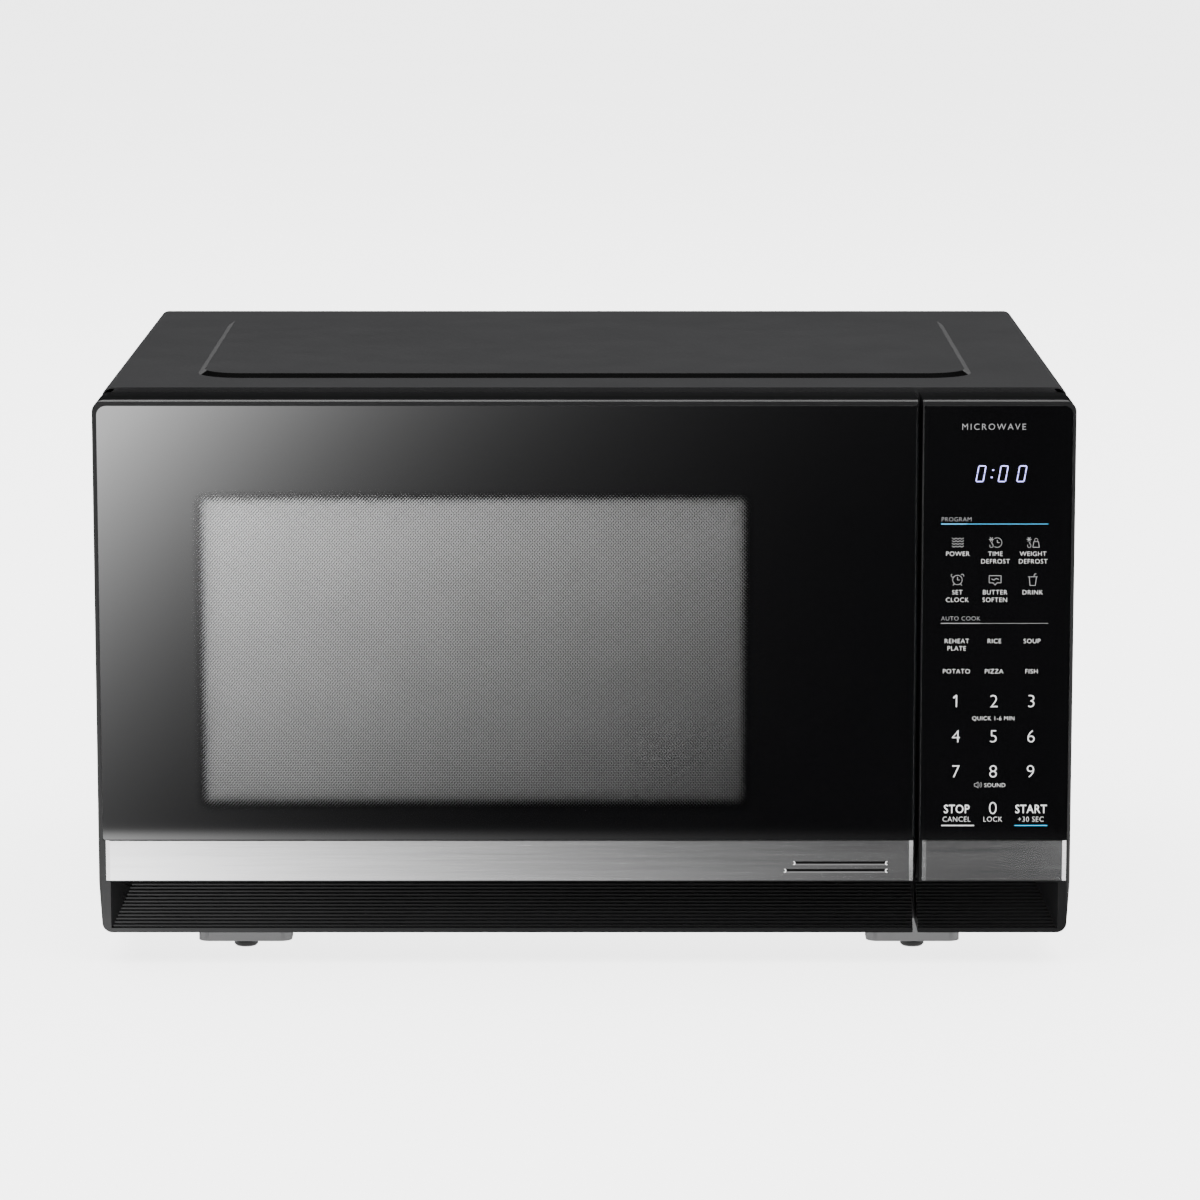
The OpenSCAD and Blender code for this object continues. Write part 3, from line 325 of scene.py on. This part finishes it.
def makeCards():
    # cards on and round the floor that only reflections see
    far, behind = frontY - mirror["reach"], mirror["behind"]
    low, tall, wide = mirror["low"], mirror["tall"], mirror["wide"]
    edge, side = mirror["edge"], mirror["side"]
    sideFar, sideBack = frontY - mirror["sideReach"], frontY + mirror["sideBack"]
    flare = edge / studio["distance"]
    farEdge = edge + flare * mirror["reach"]
    sideEdge = edge + flare * mirror["sideReach"]
    shadeCorners = [(-wide, far, low), (wide, far, low), (wide, behind, low), (-wide, behind, low)]
    reflectionCard("shadeCard", shadeCorners, evenGlow(0.0))
    floorCorners = [(-farEdge, far), (farEdge, far), (edge, frontY), (-edge, frontY)]
    reflectionCard("floorCard", [(x, y, 2 * low) for x, y in floorCorners], frontGlow)
    sideCorners = [(edge, frontY), (sideEdge, sideFar), (side, sideFar), (side, sideBack), (edge, sideBack)]
    for name, hand in (("leftCard", -1), ("rightCard", 1)):
        reflectionCard(name, [(hand * x, y, 2 * low) for x, y in sideCorners], evenGlow(mirror["sides"]))
    for name, place in (("frontCard", far), ("backCard", mirror["back"])):
        corners = [(-wide, place, 0), (wide, place, 0), (wide, place, tall), (-wide, place, tall)]
        reflectionCard(name, corners, evenGlow(0.0))


makeStudio()
print("studio ready")

# finishes of the record's slots

finishes = {
    "black_paint": paint("blackPaint", (0.034, 0.034, 0.035), 0.45),
    "zinc_steel": metal("zincSteel", (0.56, 0.57, 0.58), 0.4, (1, 1, 1), 120, 0.2, 0.1),
    "black_rubber": plastic("blackRubber", (0.004, 0.004, 0.004), 0.7, 0.5, 1800, lowGloss),
    "bright_screw": metal("brightScrew", (0.66, 0.66, 0.67), 0.24),
    "black_moulding": plastic("blackMoulding", (0.008, 0.008, 0.0085), 0.5, constants=lowGloss),
    "satin_moulding": plastic("satinMoulding", (0.0065, 0.0065, 0.0068), 0.36, 0.25, 3000,
                              {"Specular IOR Level": 0.2}),
    "grey_enamel": paint("greyEnamel", (0.42, 0.42, 0.41), 0.42, 0.08),
    "mica": plastic("mica", (0.6, 0.52, 0.38), 0.55, 0.4, 500),
    "lamp_glass": clear("lampGlass", (0.95, 0.93, 0.86), 0.4),
    "white_moulding": plastic("whiteMoulding", (0.72, 0.71, 0.67), 0.4),
    "clear_glass": clear("clearGlass", (0.62, 0.72, 0.71), 0.34, 0.08),
    "copper_tube": metal("copperTube", (0.72, 0.4, 0.26), 0.3),
    "aluminium_fin": metal("aluminiumFin", (0.76, 0.77, 0.78), 0.34, (1, 1, 12), 90),
    "ferrite": plastic("ferrite", (0.05, 0.05, 0.053), 0.6, 0.5, 900),
    "green_board": plastic("greenBoard", (0.02, 0.13, 0.05), 0.3, 0.3, 700),
    "capacitor_case": plastic("capacitorCase", (0.5, 0.3, 0.05), 0.3),
    "white_ceramic": plastic("whiteCeramic", (0.82, 0.82, 0.83), 0.2, 0.05),
    "motor_steel": paint("motorSteel", (0.18, 0.16, 0.14), 0.4),
    "blue_sensor": plastic("blueSensor", (0.03, 0.06, 0.26), 0.4),
    "red_moulding": plastic("redMoulding", (0.5, 0.04, 0.03), 0.4),
    "window_pane": clear("windowPane", (0.75, 0.78, 0.78), 0.12),
    "display_black": plastic("displayBlack", (0.006, 0.006, 0.008), 0.15, 0.02),
}

cavityLow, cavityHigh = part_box("cavity_liner")

windowLook = {"side": 26.5 * mm, "rise": 19.5 * mm, "fade": 11 * mm, "print": 1.8 * mm, "cover": 1.85,
              "coverLeast": -1.15, "printSoft": 0.12, "clearAlpha": 0.1}
windowX = (cavityLow.x + windowLook["side"], cavityHigh.x - windowLook["side"])
windowZ = (cavityLow.z + windowLook["rise"], cavityHigh.z - windowLook["rise"])
# tone, toneMost, x, z and the two falls paint light onto the screen: brightest at the upper left, falling off
# to the right and downwards
screenLook = {"pitch": 1.5 * mm, "rowStep": 0.866, "hole": (0.27, 0.37), "rim": 2 * mm, "tone": 0.112,
              "toneMost": 0.8, "x": 0.065, "z": 0.151, "paintedLightAcrossFall": 0.2, "paintedLightUpFall": 0.14, "holeTone": 0.6}


def windowMask(finish, fade):
    # 1 in the middle of the window, falling to 0 at its border
    x, y, z = finish.axes()
    mask = finish.step(x, windowX[0], windowX[0] + fade) * finish.step(x, windowX[1], windowX[1] - fade)
    mask = mask * finish.step(z, windowZ[0], windowZ[0] + fade)
    return mask * finish.step(z, windowZ[1], windowZ[1] - fade)


def screenHoles(finish):
    # 1 inside the holes of a staggered pattern
    x, y, z = finish.axes()
    pitch, rowStep = screenLook["pitch"], screenLook["rowStep"]
    row = z / (pitch * rowStep)
    shift = row.math("FLOOR").math("MODULO", 2.0) * 0.5
    across = (x / pitch + shift).math("FRACT") - 0.5
    up = (row.math("FRACT") - 0.5) * rowStep
    fromCentre = (across * across + up * up).math("SQRT")
    return windowMask(finish, screenLook["rim"]) * (1 - finish.step(fromCentre, *screenLook["hole"]))


def printField(finish, pitch):
    # a square halftone stood on its corner: 1 at its dots' centres, -1 at its gaps' centres
    x, y, z = finish.axes()
    turn = 2 * math.pi / pitch
    return (((x + z) * turn).math("COSINE") + ((x - z) * turn).math("COSINE")) * 0.5


def glassBase(finish):
    cloud = finish.noise(scale=6, detail=2)
    finish.feed("Base Color", finish.mix(cloud, (0.001, 0.001, 0.0012), (0.002, 0.002, 0.0022)))


def doorGlassFinish():
    finish = Finish("doorGlass", constants={"IOR": 1.6, "Roughness": 0.05})
    finish.material.surface_render_method = "BLENDED"
    cover = windowMask(finish, windowLook["fade"]) * windowLook["cover"] + windowLook["coverLeast"]
    soft, clearAlpha = windowLook["printSoft"], windowLook["clearAlpha"]
    printed = finish.step(printField(finish, windowLook["print"]) - cover, -soft, soft)
    glassBase(finish)
    finish.feed("Alpha", printed * (1 - clearAlpha) + clearAlpha)
    return finish.material


def panelGlassFinish():
    finish = Finish("panelGlass", constants={"IOR": 1.5, "Roughness": 0.05})
    glassBase(finish)
    return finish.material


def stripFinish():
    # brushed along its length
    finish = Finish("brushedStrip", metallic=1.0)
    hair = finish.noise(scale=420, detail=5, rough=0.65, vector=finish.stretched((0.012, 1, 1)))
    fine = finish.noise(scale=1500, detail=3, rough=0.6, vector=finish.stretched((0.02, 1, 1)))
    grain = hair * 0.6 + fine * 0.4
    finish.feed("Base Color", finish.mix(grain, (0.36, 0.36, 0.365), (0.78, 0.78, 0.785)))
    finish.feed("Roughness", grain * 0.16 + 0.17)
    finish.bump(grain, 0.1, bumpDepth["brushed"])
    return finish.material


def punch(finish, inside):
    # the roughness and the dents that both sides of the screen share
    finish.feed("Roughness", finish.noise(scale=50, detail=2) * 0.1 + 0.4)
    finish.bump(1 - inside, 0.5, bumpDepth["hole"])


def screenPaintedLightFinish():
    # punched sheet behind the glass: grey paint with painted light, brightest at the upper left and darker
    # away from it, round holes
    finish = Finish("punchedScreen", constants={"Specular IOR Level": 0.12})
    x, y, z = finish.axes()
    # painted light: the paint grows brighter to the left and higher up
    fall = (x - screenLook["x"]) / -screenLook["paintedLightAcrossFall"]
    fall = fall + (z - sill - screenLook["z"]) / screenLook["paintedLightUpFall"]
    tone = (fall.math("EXPONENT") * screenLook["tone"]).math("MINIMUM", screenLook["toneMost"])
    tone = tone * (finish.noise(scale=30, detail=3) * 0.2 + 0.9)
    inside = screenHoles(finish)
    finish.feed("Base Color", finish.mix(inside, tone, tone * screenLook["holeTone"]))
    punch(finish, inside)
    return finish.material


def screenBackFinish():
    finish = Finish("punchedScreenBack")
    inside = screenHoles(finish)
    tone = finish.mix(finish.noise(scale=30, detail=3), (0.2, 0.2, 0.2), (0.25, 0.25, 0.245))
    finish.feed("Base Color", finish.mix(inside, tone, (0.02, 0.02, 0.02)))
    punch(finish, inside)
    return finish.material


finishes["black_glass"] = panelGlassFinish()
finishes["brushed_strip"] = stripFinish()
finishes["choke_steel"] = screenPaintedLightFinish()

for part in frame["record"]["subparts"]:
    node = nodes[part["node"]]
    node.data.materials.clear()
    node.data.materials.append(finishes[part["material_slot"]])
nodes["door_glass"].data.materials[0] = doorGlassFinish()
nodes["base_plate"].data.materials[0] = paint("dullZinc", (0.12, 0.12, 0.122), 0.5)
print("finishes ready")


def makePiece(name, bm, body, material, smoothAngle=35):
    mesh = bpy.data.meshes.new(name)
    bm.to_mesh(mesh)
    bm.free()
    piece = bpy.data.objects.new(name, mesh)
    bpy.context.scene.collection.objects.link(piece)
    mesh.materials.append(material)
    mesh.shade_smooth()
    mesh.set_sharp_from_angle(angle=math.radians(smoothAngle))
    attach(piece, body)
    return piece


def bodyOf(node):
    return nodes[node]["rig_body"]


def weightNormals(piece):
    # large flats keep their own normals next to small roundings
    piece.modifiers.new("weighted", "WEIGHTED_NORMAL").keep_sharp = True
    shaped = bpy.data.meshes.new_from_object(piece.evaluated_get(bpy.context.evaluated_depsgraph_get()))
    plain = piece.data
    piece.modifiers.clear()
    piece.data = shaped
    bpy.data.meshes.remove(plain)
    shaped.name = piece.name


rounding = {"merge": 0.002 * mm, "flat": math.radians(0.6), "hard": math.radians(32), "shortest": 1.2 * mm,
            "segments": 2, "highlightTurn": (-0.97, -0.2), "strongHighlightRise": 0.7, "crestRise": 0.9 * mm,
            "crestTurn": -0.1}
# lighter finishes that paint highlights along the rounded edges of the glass and the mouldings
glassEdgeHighlight = plastic("glassEdgeHighlight", (0.17, 0.17, 0.17), 0.25, 0.05)
mouldingEdgeHighlight = plastic("mouldingEdgeHighlight", (0.05, 0.05, 0.051), 0.3, 0.1, constants={"Specular IOR Level": 0.1})
paintedEdgeHighlight = plastic("paintedEdgeHighlight", (0.06, 0.06, 0.06), 0.25, 0.05)


def cutPlane(bm, point, normal):
    bmesh.ops.bisect_plane(bm, geom=bm.verts[:] + bm.edges[:] + bm.faces[:], dist=1e-6, plane_co=point,
                           plane_no=normal)


def refined(node, edge, roundingHighlight=None):
    # the node's own shape, merged, its flats joined and its edges rounded; the given finish paints highlights
    # onto the roundings that face the front, and a brighter one onto those that also face up
    bm = bmesh.new()
    bm.from_mesh(nodes[node].data)
    bmesh.ops.remove_doubles(bm, verts=bm.verts, dist=rounding["merge"])
    bmesh.ops.dissolve_limit(bm, angle_limit=rounding["flat"], verts=bm.verts, edges=bm.edges)
    hard = [e for e in bm.edges if len(e.link_faces) == 2 and e.calc_length() > rounding["shortest"]
            and abs(e.calc_face_angle(0)) > rounding["hard"]]
    made = bmesh.ops.bevel(bm, geom=hard, offset=edge * mm, segments=rounding["segments"], profile=0.5,
                           affect="EDGES", clamp_overlap=True, material=-1)
    if roundingHighlight:
        least, most = rounding["highlightTurn"]
        for face in made["faces"]:
            face.normal_update()
            if least < face.normal.y < most:
                face.material_index = 2 if face.normal.z > rounding["strongHighlightRise"] else 1
    if roundingHighlight is mouldingEdgeHighlight:
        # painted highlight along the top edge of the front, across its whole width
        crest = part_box(node)[1].z - rounding["crestRise"]
        cutPlane(bm, (0, 0, crest), (0, 0, 1))
        for face in bm.faces:
            face.normal_update()
            if face.calc_center_median().z > crest and face.normal.y < rounding["crestTurn"]:
                face.material_index = 2
    piece = makePiece(node + ".shaped", bm, bodyOf(node), nodes[node].data.materials[0])
    if roundingHighlight:
        piece.data.materials.append(roundingHighlight)
        piece.data.materials.append(paintedEdgeHighlight)
    weightNormals(piece)
    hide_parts(node)
    return piece


# each node's rounding in mm, and the painted highlight on its roundings
roundedNodes = {"cabinet_wrap": (0.3, None), "back_plate": (0.2, None), "base_plate": (0.3, None),
                "feet": (0.4, None), "rear_spacers": (0.8, None), "cord_gland": (0.4, None),
                "front_plate": (0.2, None), "door_frame": (0.35, mouldingEdgeHighlight),
                "panel_body": (0.35, mouldingEdgeHighlight), "choke_panel": (0.3, None), "door_rear_cover": (0.6, None),
                "latch_hooks": (0.5, None), "door_glass": (0.6, glassEdgeHighlight), "panel_glass": (0.6, glassEdgeHighlight)}
shaped = {node: refined(node, edge, roundingHighlight) for node, (edge, roundingHighlight) in roundedNodes.items()}

# the slopes round the raised top: painted shade on the one in front, painted highlights on the ones at the
# sides
crease = {"rise": 0.3, "frontTurn": -0.2, "sideTurn": 0.2, "halfWidth": 0.23, "frontEnd": -0.16}
wrapMesh = shaped["cabinet_wrap"].data
wrapMesh.materials.append(plastic("paintedCreaseShade", (0.002, 0.002, 0.002), 0.6, 0.1,
                                  constants={"Specular IOR Level": 0.05}))
wrapMesh.materials.append(paint("paintedCreaseHighlight", (0.075, 0.075, 0.076), 0.45))
for face in wrapMesh.polygons:
    onTop = face.normal.z > crease["rise"] and face.center.y > crease["frontEnd"]
    if onTop and abs(face.center.x) < crease["halfWidth"]:
        if face.normal.y < crease["frontTurn"]:
            face.material_index = 1
        elif abs(face.normal.x) > crease["sideTurn"]:
            face.material_index = 2

# only the side of the screen that faces the glass keeps the painted light and shade; the back is evenly grey
# with dark holes
chokeMesh = shaped["choke_panel"].data
chokeMesh.materials.append(screenBackFinish())
for face in chokeMesh.polygons:
    face.material_index = 0 if face.normal.y < -0.5 else 1
print("rounded pieces ready")

# painted shade for the insides of the pressed grooves and the hollows of their rings
paintedGrooveShade = metal("paintedGrooveShade", (0.03, 0.03, 0.03), 0.5)
stripLook = {"end": 2.1 * mm, "drop": 0.55 * mm, "edge": 0.3 * mm, "deep": 0.55 * mm, "wide": 2.0 * mm,
             "slope": 0.6 * mm, "smooth": 12, "right": 160.0 * mm, "upper": (110.1 * mm, 37.6 * mm),
             "lower": (105.3 * mm, 33.5 * mm)}


def steelStrip(name, node, grooves):
    # a folded strip: sloped ends, softened long edges, pressed grooves with painted shade inside them
    low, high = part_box(node)
    bm = bmesh.new()
    bmesh.ops.create_cube(bm, size=1, matrix=Matrix.Translation((low + high) / 2)
                          @ Matrix.Diagonal((*(high - low), 1)))
    for place in (low.x + stripLook["end"], high.x - stripLook["end"]):
        cutPlane(bm, (place, 0, 0), (1, 0, 0))
    for vert in bm.verts:
        if vert.co.y < low.y + 1e-6 and min(vert.co.x - low.x, high.x - vert.co.x) < 1e-6:
            vert.co.y += stripLook["drop"]
    longEdges = [e for e in bm.edges if max(v.co.y for v in e.verts) < low.y + 1e-6
                 and abs(e.verts[0].co.z - e.verts[1].co.z) < 1e-6]
    bmesh.ops.bevel(bm, geom=longEdges, offset=stripLook["edge"], segments=2, profile=0.5, affect="EDGES",
                    clamp_overlap=True, material=-1)
    for left, right, bottom, top in grooves:
        for point, normal in (((left, 0, 0), (1, 0, 0)), ((right, 0, 0), (1, 0, 0)),
                              ((0, 0, bottom), (0, 0, 1)), ((0, 0, top), (0, 0, 1))):
            cutPlane(bm, point, normal)
        floorFaces = [f for f in bm.faces if f.normal.y < -0.9 and left < f.calc_center_median().x < right
                      and bottom < f.calc_center_median().z < top]
        sunk = bmesh.ops.extrude_face_region(bm, geom=floorFaces)
        bmesh.ops.delete(bm, geom=floorFaces, context="FACES")
        moved = [g for g in sunk["geom"] if isinstance(g, bmesh.types.BMVert)]
        bmesh.ops.translate(bm, vec=(0, stripLook["deep"], 0), verts=moved)
        for vert in moved:
            if vert.co.z < (bottom + top) / 2:
                vert.co.z += stripLook["slope"]
        # the sunk faces of each groove take the painted shade
        for face in sunk["geom"]:
            if isinstance(face, bmesh.types.BMFace):
                face.material_index = 1
    bmesh.ops.remove_doubles(bm, verts=bm.verts, dist=1e-7)
    piece = makePiece(name, bm, bodyOf(node), finishes["brushed_strip"],
                      stripLook["smooth"])
    piece.data.materials.append(paintedGrooveShade)
    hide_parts(node)


def grooveBand(left, rise):
    half = stripLook["wide"] / 2
    return (left, stripLook["right"], sill + rise - half, sill + rise + half)


steelStrip("doorStrip", "door_strip", [grooveBand(*stripLook["upper"]), grooveBand(*stripLook["lower"])])
steelStrip("panelStrip", "panel_strip", [])


# radius and height of a ring's section, in mm, from its foot outside to its hollow
ringLook = {"steps": 16, "seat": 0.3 * mm,
            "section": ((1.2, -0.25), (1.25, 0.27), (0.75, 0.27), (0.65, -0.05))}


def grooveRings():
    # a small ring closes each end of the two grooves; painted shade fills its hollow
    bm = bmesh.new()
    for left, rise in (stripLook["upper"], stripLook["lower"]):
        for place in (left, stripLook["right"]):
            centre = Vector((place, frontY + ringLook["seat"], sill + rise))
            turn = Matrix.Translation(centre) @ Matrix.Rotation(math.radians(90), 4, "X")
            section = [bm.verts.new(turn @ Vector((radius * mm, 0, lift * mm)))
                       for radius, lift in ringLook["section"]]
            edges = [bm.edges.new(pair) for pair in zip(section, section[1:])]
            bmesh.ops.spin(bm, geom=section + edges, cent=centre, axis=(0, 1, 0), angle=math.tau,
                           steps=ringLook["steps"], use_merge=True)
    rims = [e for e in bm.edges if len(e.link_faces) == 1]
    caps = bmesh.ops.holes_fill(bm, edges=rims, sides=ringLook["steps"])["faces"]
    bmesh.ops.recalc_face_normals(bm, faces=bm.faces)
    # the cap in each ring's hollow faces the front and takes the painted shade
    for face in caps:
        face.material_index = 1 if face.normal.y < 0 else 0
    lacquer = plastic("ringLacquer", (0.8, 0.8, 0.8), 0.25, 0.05)
    piece = makePiece("grooveRings", bm, bodyOf("door_strip"), lacquer)
    piece.data.materials.append(paintedGrooveShade)


grooveRings()
print("strips ready")

# the marks on the panel's glass, in mm: x, and height above the front's sill
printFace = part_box("door_glass")[0].y - 0.03 * mm
inkLook = {"deep": 0.02 * mm, "raise": 0.004, "columns": (195.2, 214.9, 234.6), "left": 186.6, "right": 243.4,
           "bold": -0.018, "spacing": 1.08, "icon": 0.24, "hair": 0.2, "bar": 0.55, "heading": 2.2,
           "note": 2.1, "word": 2.35, "digit": 6.7, "key": 4.4, "keyNote": 2.7, "keyBar": 57.8}


def onGlass(x, z):
    return Vector((x * mm, printFace, sill + z * mm))


def flatText(text, align, bold, spacing):
    curve = bpy.data.curves.new("lettering", "FONT")
    curve.body = text
    curve.align_x = align
    curve.resolution_u = 3
    curve.offset = bold
    curve.space_character = spacing
    curve.extrude = inkLook["raise"]
    holder = bpy.data.objects.new("lettering", curve)
    bpy.context.scene.collection.objects.link(holder)
    bpy.context.view_layer.update()
    mesh = bpy.data.meshes.new_from_object(holder.evaluated_get(bpy.context.evaluated_depsgraph_get()))
    bpy.data.objects.remove(holder)
    bpy.data.curves.remove(curve)
    return mesh


capitalMesh = flatText("H", "LEFT", 0, 1)
capHeight = max(v.co.y for v in capitalMesh.vertices)
bpy.data.meshes.remove(capitalMesh)


def letter(bm, text, x, z, height, align="CENTER", bold=inkLook["bold"], spacing=inkLook["spacing"],
           wide=1.0):
    # one line of upright capitals or digits, centred on z
    mesh = flatText(text, align, bold, spacing)
    scale = height * mm / capHeight
    mesh.transform(Matrix.Translation(onGlass(x, z - height / 2)) @ Matrix.Rotation(math.radians(90), 4, "X")
                   @ Matrix.Diagonal((scale * wide, scale, scale, 1)))
    bm.from_mesh(mesh)
    bpy.data.meshes.remove(mesh)


def stroke(bm, points, width, closed=False):
    # a drawn line through the points
    ring = list(points) + ([points[0]] if closed else [])
    for (x0, z0), (x1, z1) in zip(ring, ring[1:]):
        length = math.hypot(x1 - x0, z1 - z0)
        if length > 0:
            turn = Matrix.Rotation(-math.atan2(z1 - z0, x1 - x0), 4, "Y")
            size = Matrix.Diagonal(((length + width * 0.7) * mm, inkLook["deep"], width * mm, 1))
            middle = Matrix.Translation(onGlass((x0 + x1) / 2, (z0 + z1) / 2))
            bmesh.ops.create_cube(bm, size=1, matrix=middle @ turn @ size)


def ring(x, z, radius, start=0, end=360, steps=18):
    turns = [math.radians(start + (end - start) * i / steps) for i in range(steps + 1)]
    return [(x + radius * math.cos(turn), z + radius * math.sin(turn)) for turn in turns]


def drop(x, z):
    return [(x, z + 1.5)] + ring(x, z - 0.3, 0.9, 30, -210, 9)


def snow(bm, x, z, width):
    for turn in (0, 60, 120):
        dx, dz = 1.2 * math.cos(math.radians(turn)), 1.2 * math.sin(math.radians(turn))
        stroke(bm, [(x - dx, z - dz), (x + dx, z + dz)], width)


def iconMarks(bm):
    one, two, three = inkLook["columns"]
    width = inkLook["icon"]
    upper, lower = 208.7, 188.9
    for row in (-2.1, -0.7, 0.7, 2.1):
        wave = [(one - 3 + i * 0.5, upper + row + 0.35 * math.cos(i * math.pi / 2)) for i in range(13)]
        stroke(bm, wave, width)
    for x in (two, three):
        snow(bm, x - 2.2, upper + 1.7, width)
        stroke(bm, drop(x - 2.1, upper - 1.4), width)
    stroke(bm, ring(two + 0.8, upper, 2.5, -120, 120), width)
    stroke(bm, [(two + 0.9, upper + 1.3), (two + 0.9, upper), (two + 2, upper)], width)
    stroke(bm, [(three - 0.2, upper - 2.5), (three + 3.2, upper - 2.5), (three + 2.7, upper + 0.5),
                (three + 0.3, upper + 0.5)], width, True)
    stroke(bm, ring(three + 1.5, upper + 1.4, 0.85), width)
    stroke(bm, ring(one, lower, 2.5), width)
    stroke(bm, [(one, lower + 1.5), (one, lower), (one + 1.1, lower)], width)
    for side in (-1, 1):
        stroke(bm, ring(one + side * 2.5, lower + 2.3, 0.8, 45 - side * 75, 45 - side * 75 + 180, 6), width)
        stroke(bm, [(one + side * 1.7, lower - 2.1), (one + side * 2.3, lower - 2.9)], width)
    stroke(bm, [(two - 3.1, lower + 2.3), (two + 3.1, lower + 2.3), (two + 3.1, lower - 1.5),
                (two + 1, lower - 1.5), (two, lower - 2.7), (two - 1, lower - 1.5), (two - 3.1, lower - 1.5)],
           width, True)
    stroke(bm, [(two - 1.8, lower + 0.6), (two - 0.6, lower - 0.1), (two + 0.6, lower + 0.9),
                (two + 1.8, lower + 0.2)], width)
    stroke(bm, [(three - 1.9, lower + 1.7), (three - 1.4, lower - 2.9), (three + 1.4, lower - 2.9),
                (three + 1.9, lower + 1.7)], width)
    stroke(bm, [(three - 2.4, lower + 1.7), (three + 2.4, lower + 1.7)], width)
    stroke(bm, [(three + 0.5, lower + 1.7), (three + 0.9, lower + 3.1), (three + 1.7, lower + 3.3)], width)
    stroke(bm, [(two - 9.6, 78.9), (two - 8.7, 78.9), (two - 7.6, 77.9), (two - 7.6, 81.3), (two - 8.7, 80.3),
                (two - 9.6, 80.3)], inkLook["hair"], True)
    for radius in (0.9, 1.7):
        stroke(bm, ring(two - 7.4, 79.6, radius, -50, 50, 6), inkLook["hair"])


def greyMarks(bm):
    letter(bm, "MICROWAVE", 213.3, 269.7, 3.2, bold=-0.01, spacing=1.3)
    letter(bm, "PROGRAM", inkLook["left"] - 0.2, 221.0, inkLook["heading"], "LEFT")
    letter(bm, "AUTO COOK", inkLook["left"] + 0.2, 168.5, inkLook["heading"], "LEFT")
    stroke(bm, [(inkLook["left"] + 0.3, 165.9), (207.3, 165.9)], 0.4)
    stroke(bm, [(207.3, 165.9), (inkLook["right"] - 0.5, 165.9)], inkLook["hair"])


def whiteMarks(bm):
    one, two, three = inkLook["columns"]
    words = ((one, 202.8, "POWER"), (two, 202.8, "TIME"), (two, 198.8, "DEFROST"), (three, 202.8, "WEIGHT"),
             (three, 198.8, "DEFROST"), (one, 182.4, "SET"), (one, 178.4, "CLOCK"), (two, 182.4, "BUTTER"),
             (two, 178.4, "SOFTEN"), (three, 182.4, "DRINK"), (one, 156.5, "REHEAT"), (one, 152.6, "PLATE"),
             (two, 156.5, "RICE"), (three, 156.5, "SOUP"), (one, 140.4, "POTATO"), (two, 140.4, "PIZZA"),
             (three, 140.4, "FISH"))
    for x, z, text in words:
        letter(bm, text, x, z, inkLook["word"])
    letter(bm, "QUICK 1-6 MIN", two, 115.3, inkLook["note"])
    letter(bm, "SOUND", two + 1.2, 79.5, inkLook["note"])
    for row, z in enumerate((124.5, 105.7, 86.9)):
        for column, x in enumerate((one, two, three)):
            letter(bm, str(row * 3 + column + 1), x + 0.2, z, inkLook["digit"])
    stroke(bm, [(one - 1.2, 126.3), (one + 0.1, 127.5)], 0.75)
    letter(bm, "0", two + 0.3, 67.2, inkLook["digit"])
    for x, text in ((two + 0.3, "LOCK"), (one + 0.9, "CANCEL"), (three + 0.7, "+30 SEC")):
        letter(bm, text, x, 61.2, inkLook["keyNote"], spacing=1.1, wide=0.92)
    for x, text in ((one + 0.9, "STOP"), (three + 0.7, "START")):
        letter(bm, text, x, 66.7, inkLook["key"], bold=0.005, spacing=1.05, wide=0.86)
    stroke(bm, [(188.4, inkLook["keyBar"]), (205.2, inkLook["keyBar"])], inkLook["bar"])


def blueMarks(bm):
    stroke(bm, [(inkLook["left"], 218.5), (199.8, 218.5)], inkLook["bar"])
    stroke(bm, [(199.8, 218.5), (inkLook["right"] - 1.2, 218.5)], 0.3)
    stroke(bm, [(227.0, inkLook["keyBar"]), (243.8, inkLook["keyBar"])], inkLook["bar"])


segments = {"height": 8.2, "width": 3.7, "thick": 0.496, "lean": 0.17, "gap": 0.4,
            "left": (204.3, 215.9, 225.6), "middle": 245.0, "colon": 212.1, "colonRise": 1.9,
            "colonHalf": 0.25, "colonThick": 0.62}


def clockMarks(bm):
    # a zero from six leaning segments, three times, with a colon
    w, h, gap = segments["width"], segments["height"] / 2, segments["gap"]
    mid = segments["middle"]
    bars = ((0, h, w, h), (0, -h, w, -h), (0, 0, 0, h), (0, -h, 0, 0), (w, 0, w, h), (w, -h, w, 0))

    def lean(x, z):
        return (x + (z - mid + h) * segments["lean"], z)

    for left in segments["left"]:
        for x0, z0, x1, z1 in bars:
            dx, dz = (gap, 0) if z0 == z1 else (0, gap)
            start = lean(left + x0 + dx, mid + z0 + dz)
            end = lean(left + x1 - dx, mid + z1 - dz)
            stroke(bm, [start, end], segments["thick"])
    for rise in (-segments["colonRise"], segments["colonRise"]):
        x, z = lean(segments["colon"], mid + rise)
        stroke(bm, [(x - segments["colonHalf"], z), (x + segments["colonHalf"], z)], segments["colonThick"])


def ink(name, tone):
    finish = Finish(name, constants={"Roughness": 0.55})
    fleck = finish.noise(scale=900, detail=2)
    finish.feed("Base Color", finish.mix(fleck, shade(tone, 0.9), shade(tone, 1.04)))
    return finish.material


prints = (("greyPrint", greyMarks, ink("greyInk", (0.2, 0.2, 0.205)), "white_moulding"),
          ("iconPrint", iconMarks, ink("iconInk", (0.28, 0.28, 0.285)), "white_moulding"),
          ("whitePrint", whiteMarks, ink("whiteInk", (0.62, 0.62, 0.62)), "white_moulding"),
          ("bluePrint", blueMarks, ink("blueInk", (0.004, 0.33, 0.62)), "white_moulding"),
          ("clockDigits", clockMarks, glow("clockGlow", (0.42, 0.4, 1.0), 2.6), "display_black"))
for name, draw, look, slotName in prints:
    bm = bmesh.new()
    draw(bm)
    makePiece(name, bm, bodyOf("panel_glass"), look)
print("panel marks ready")
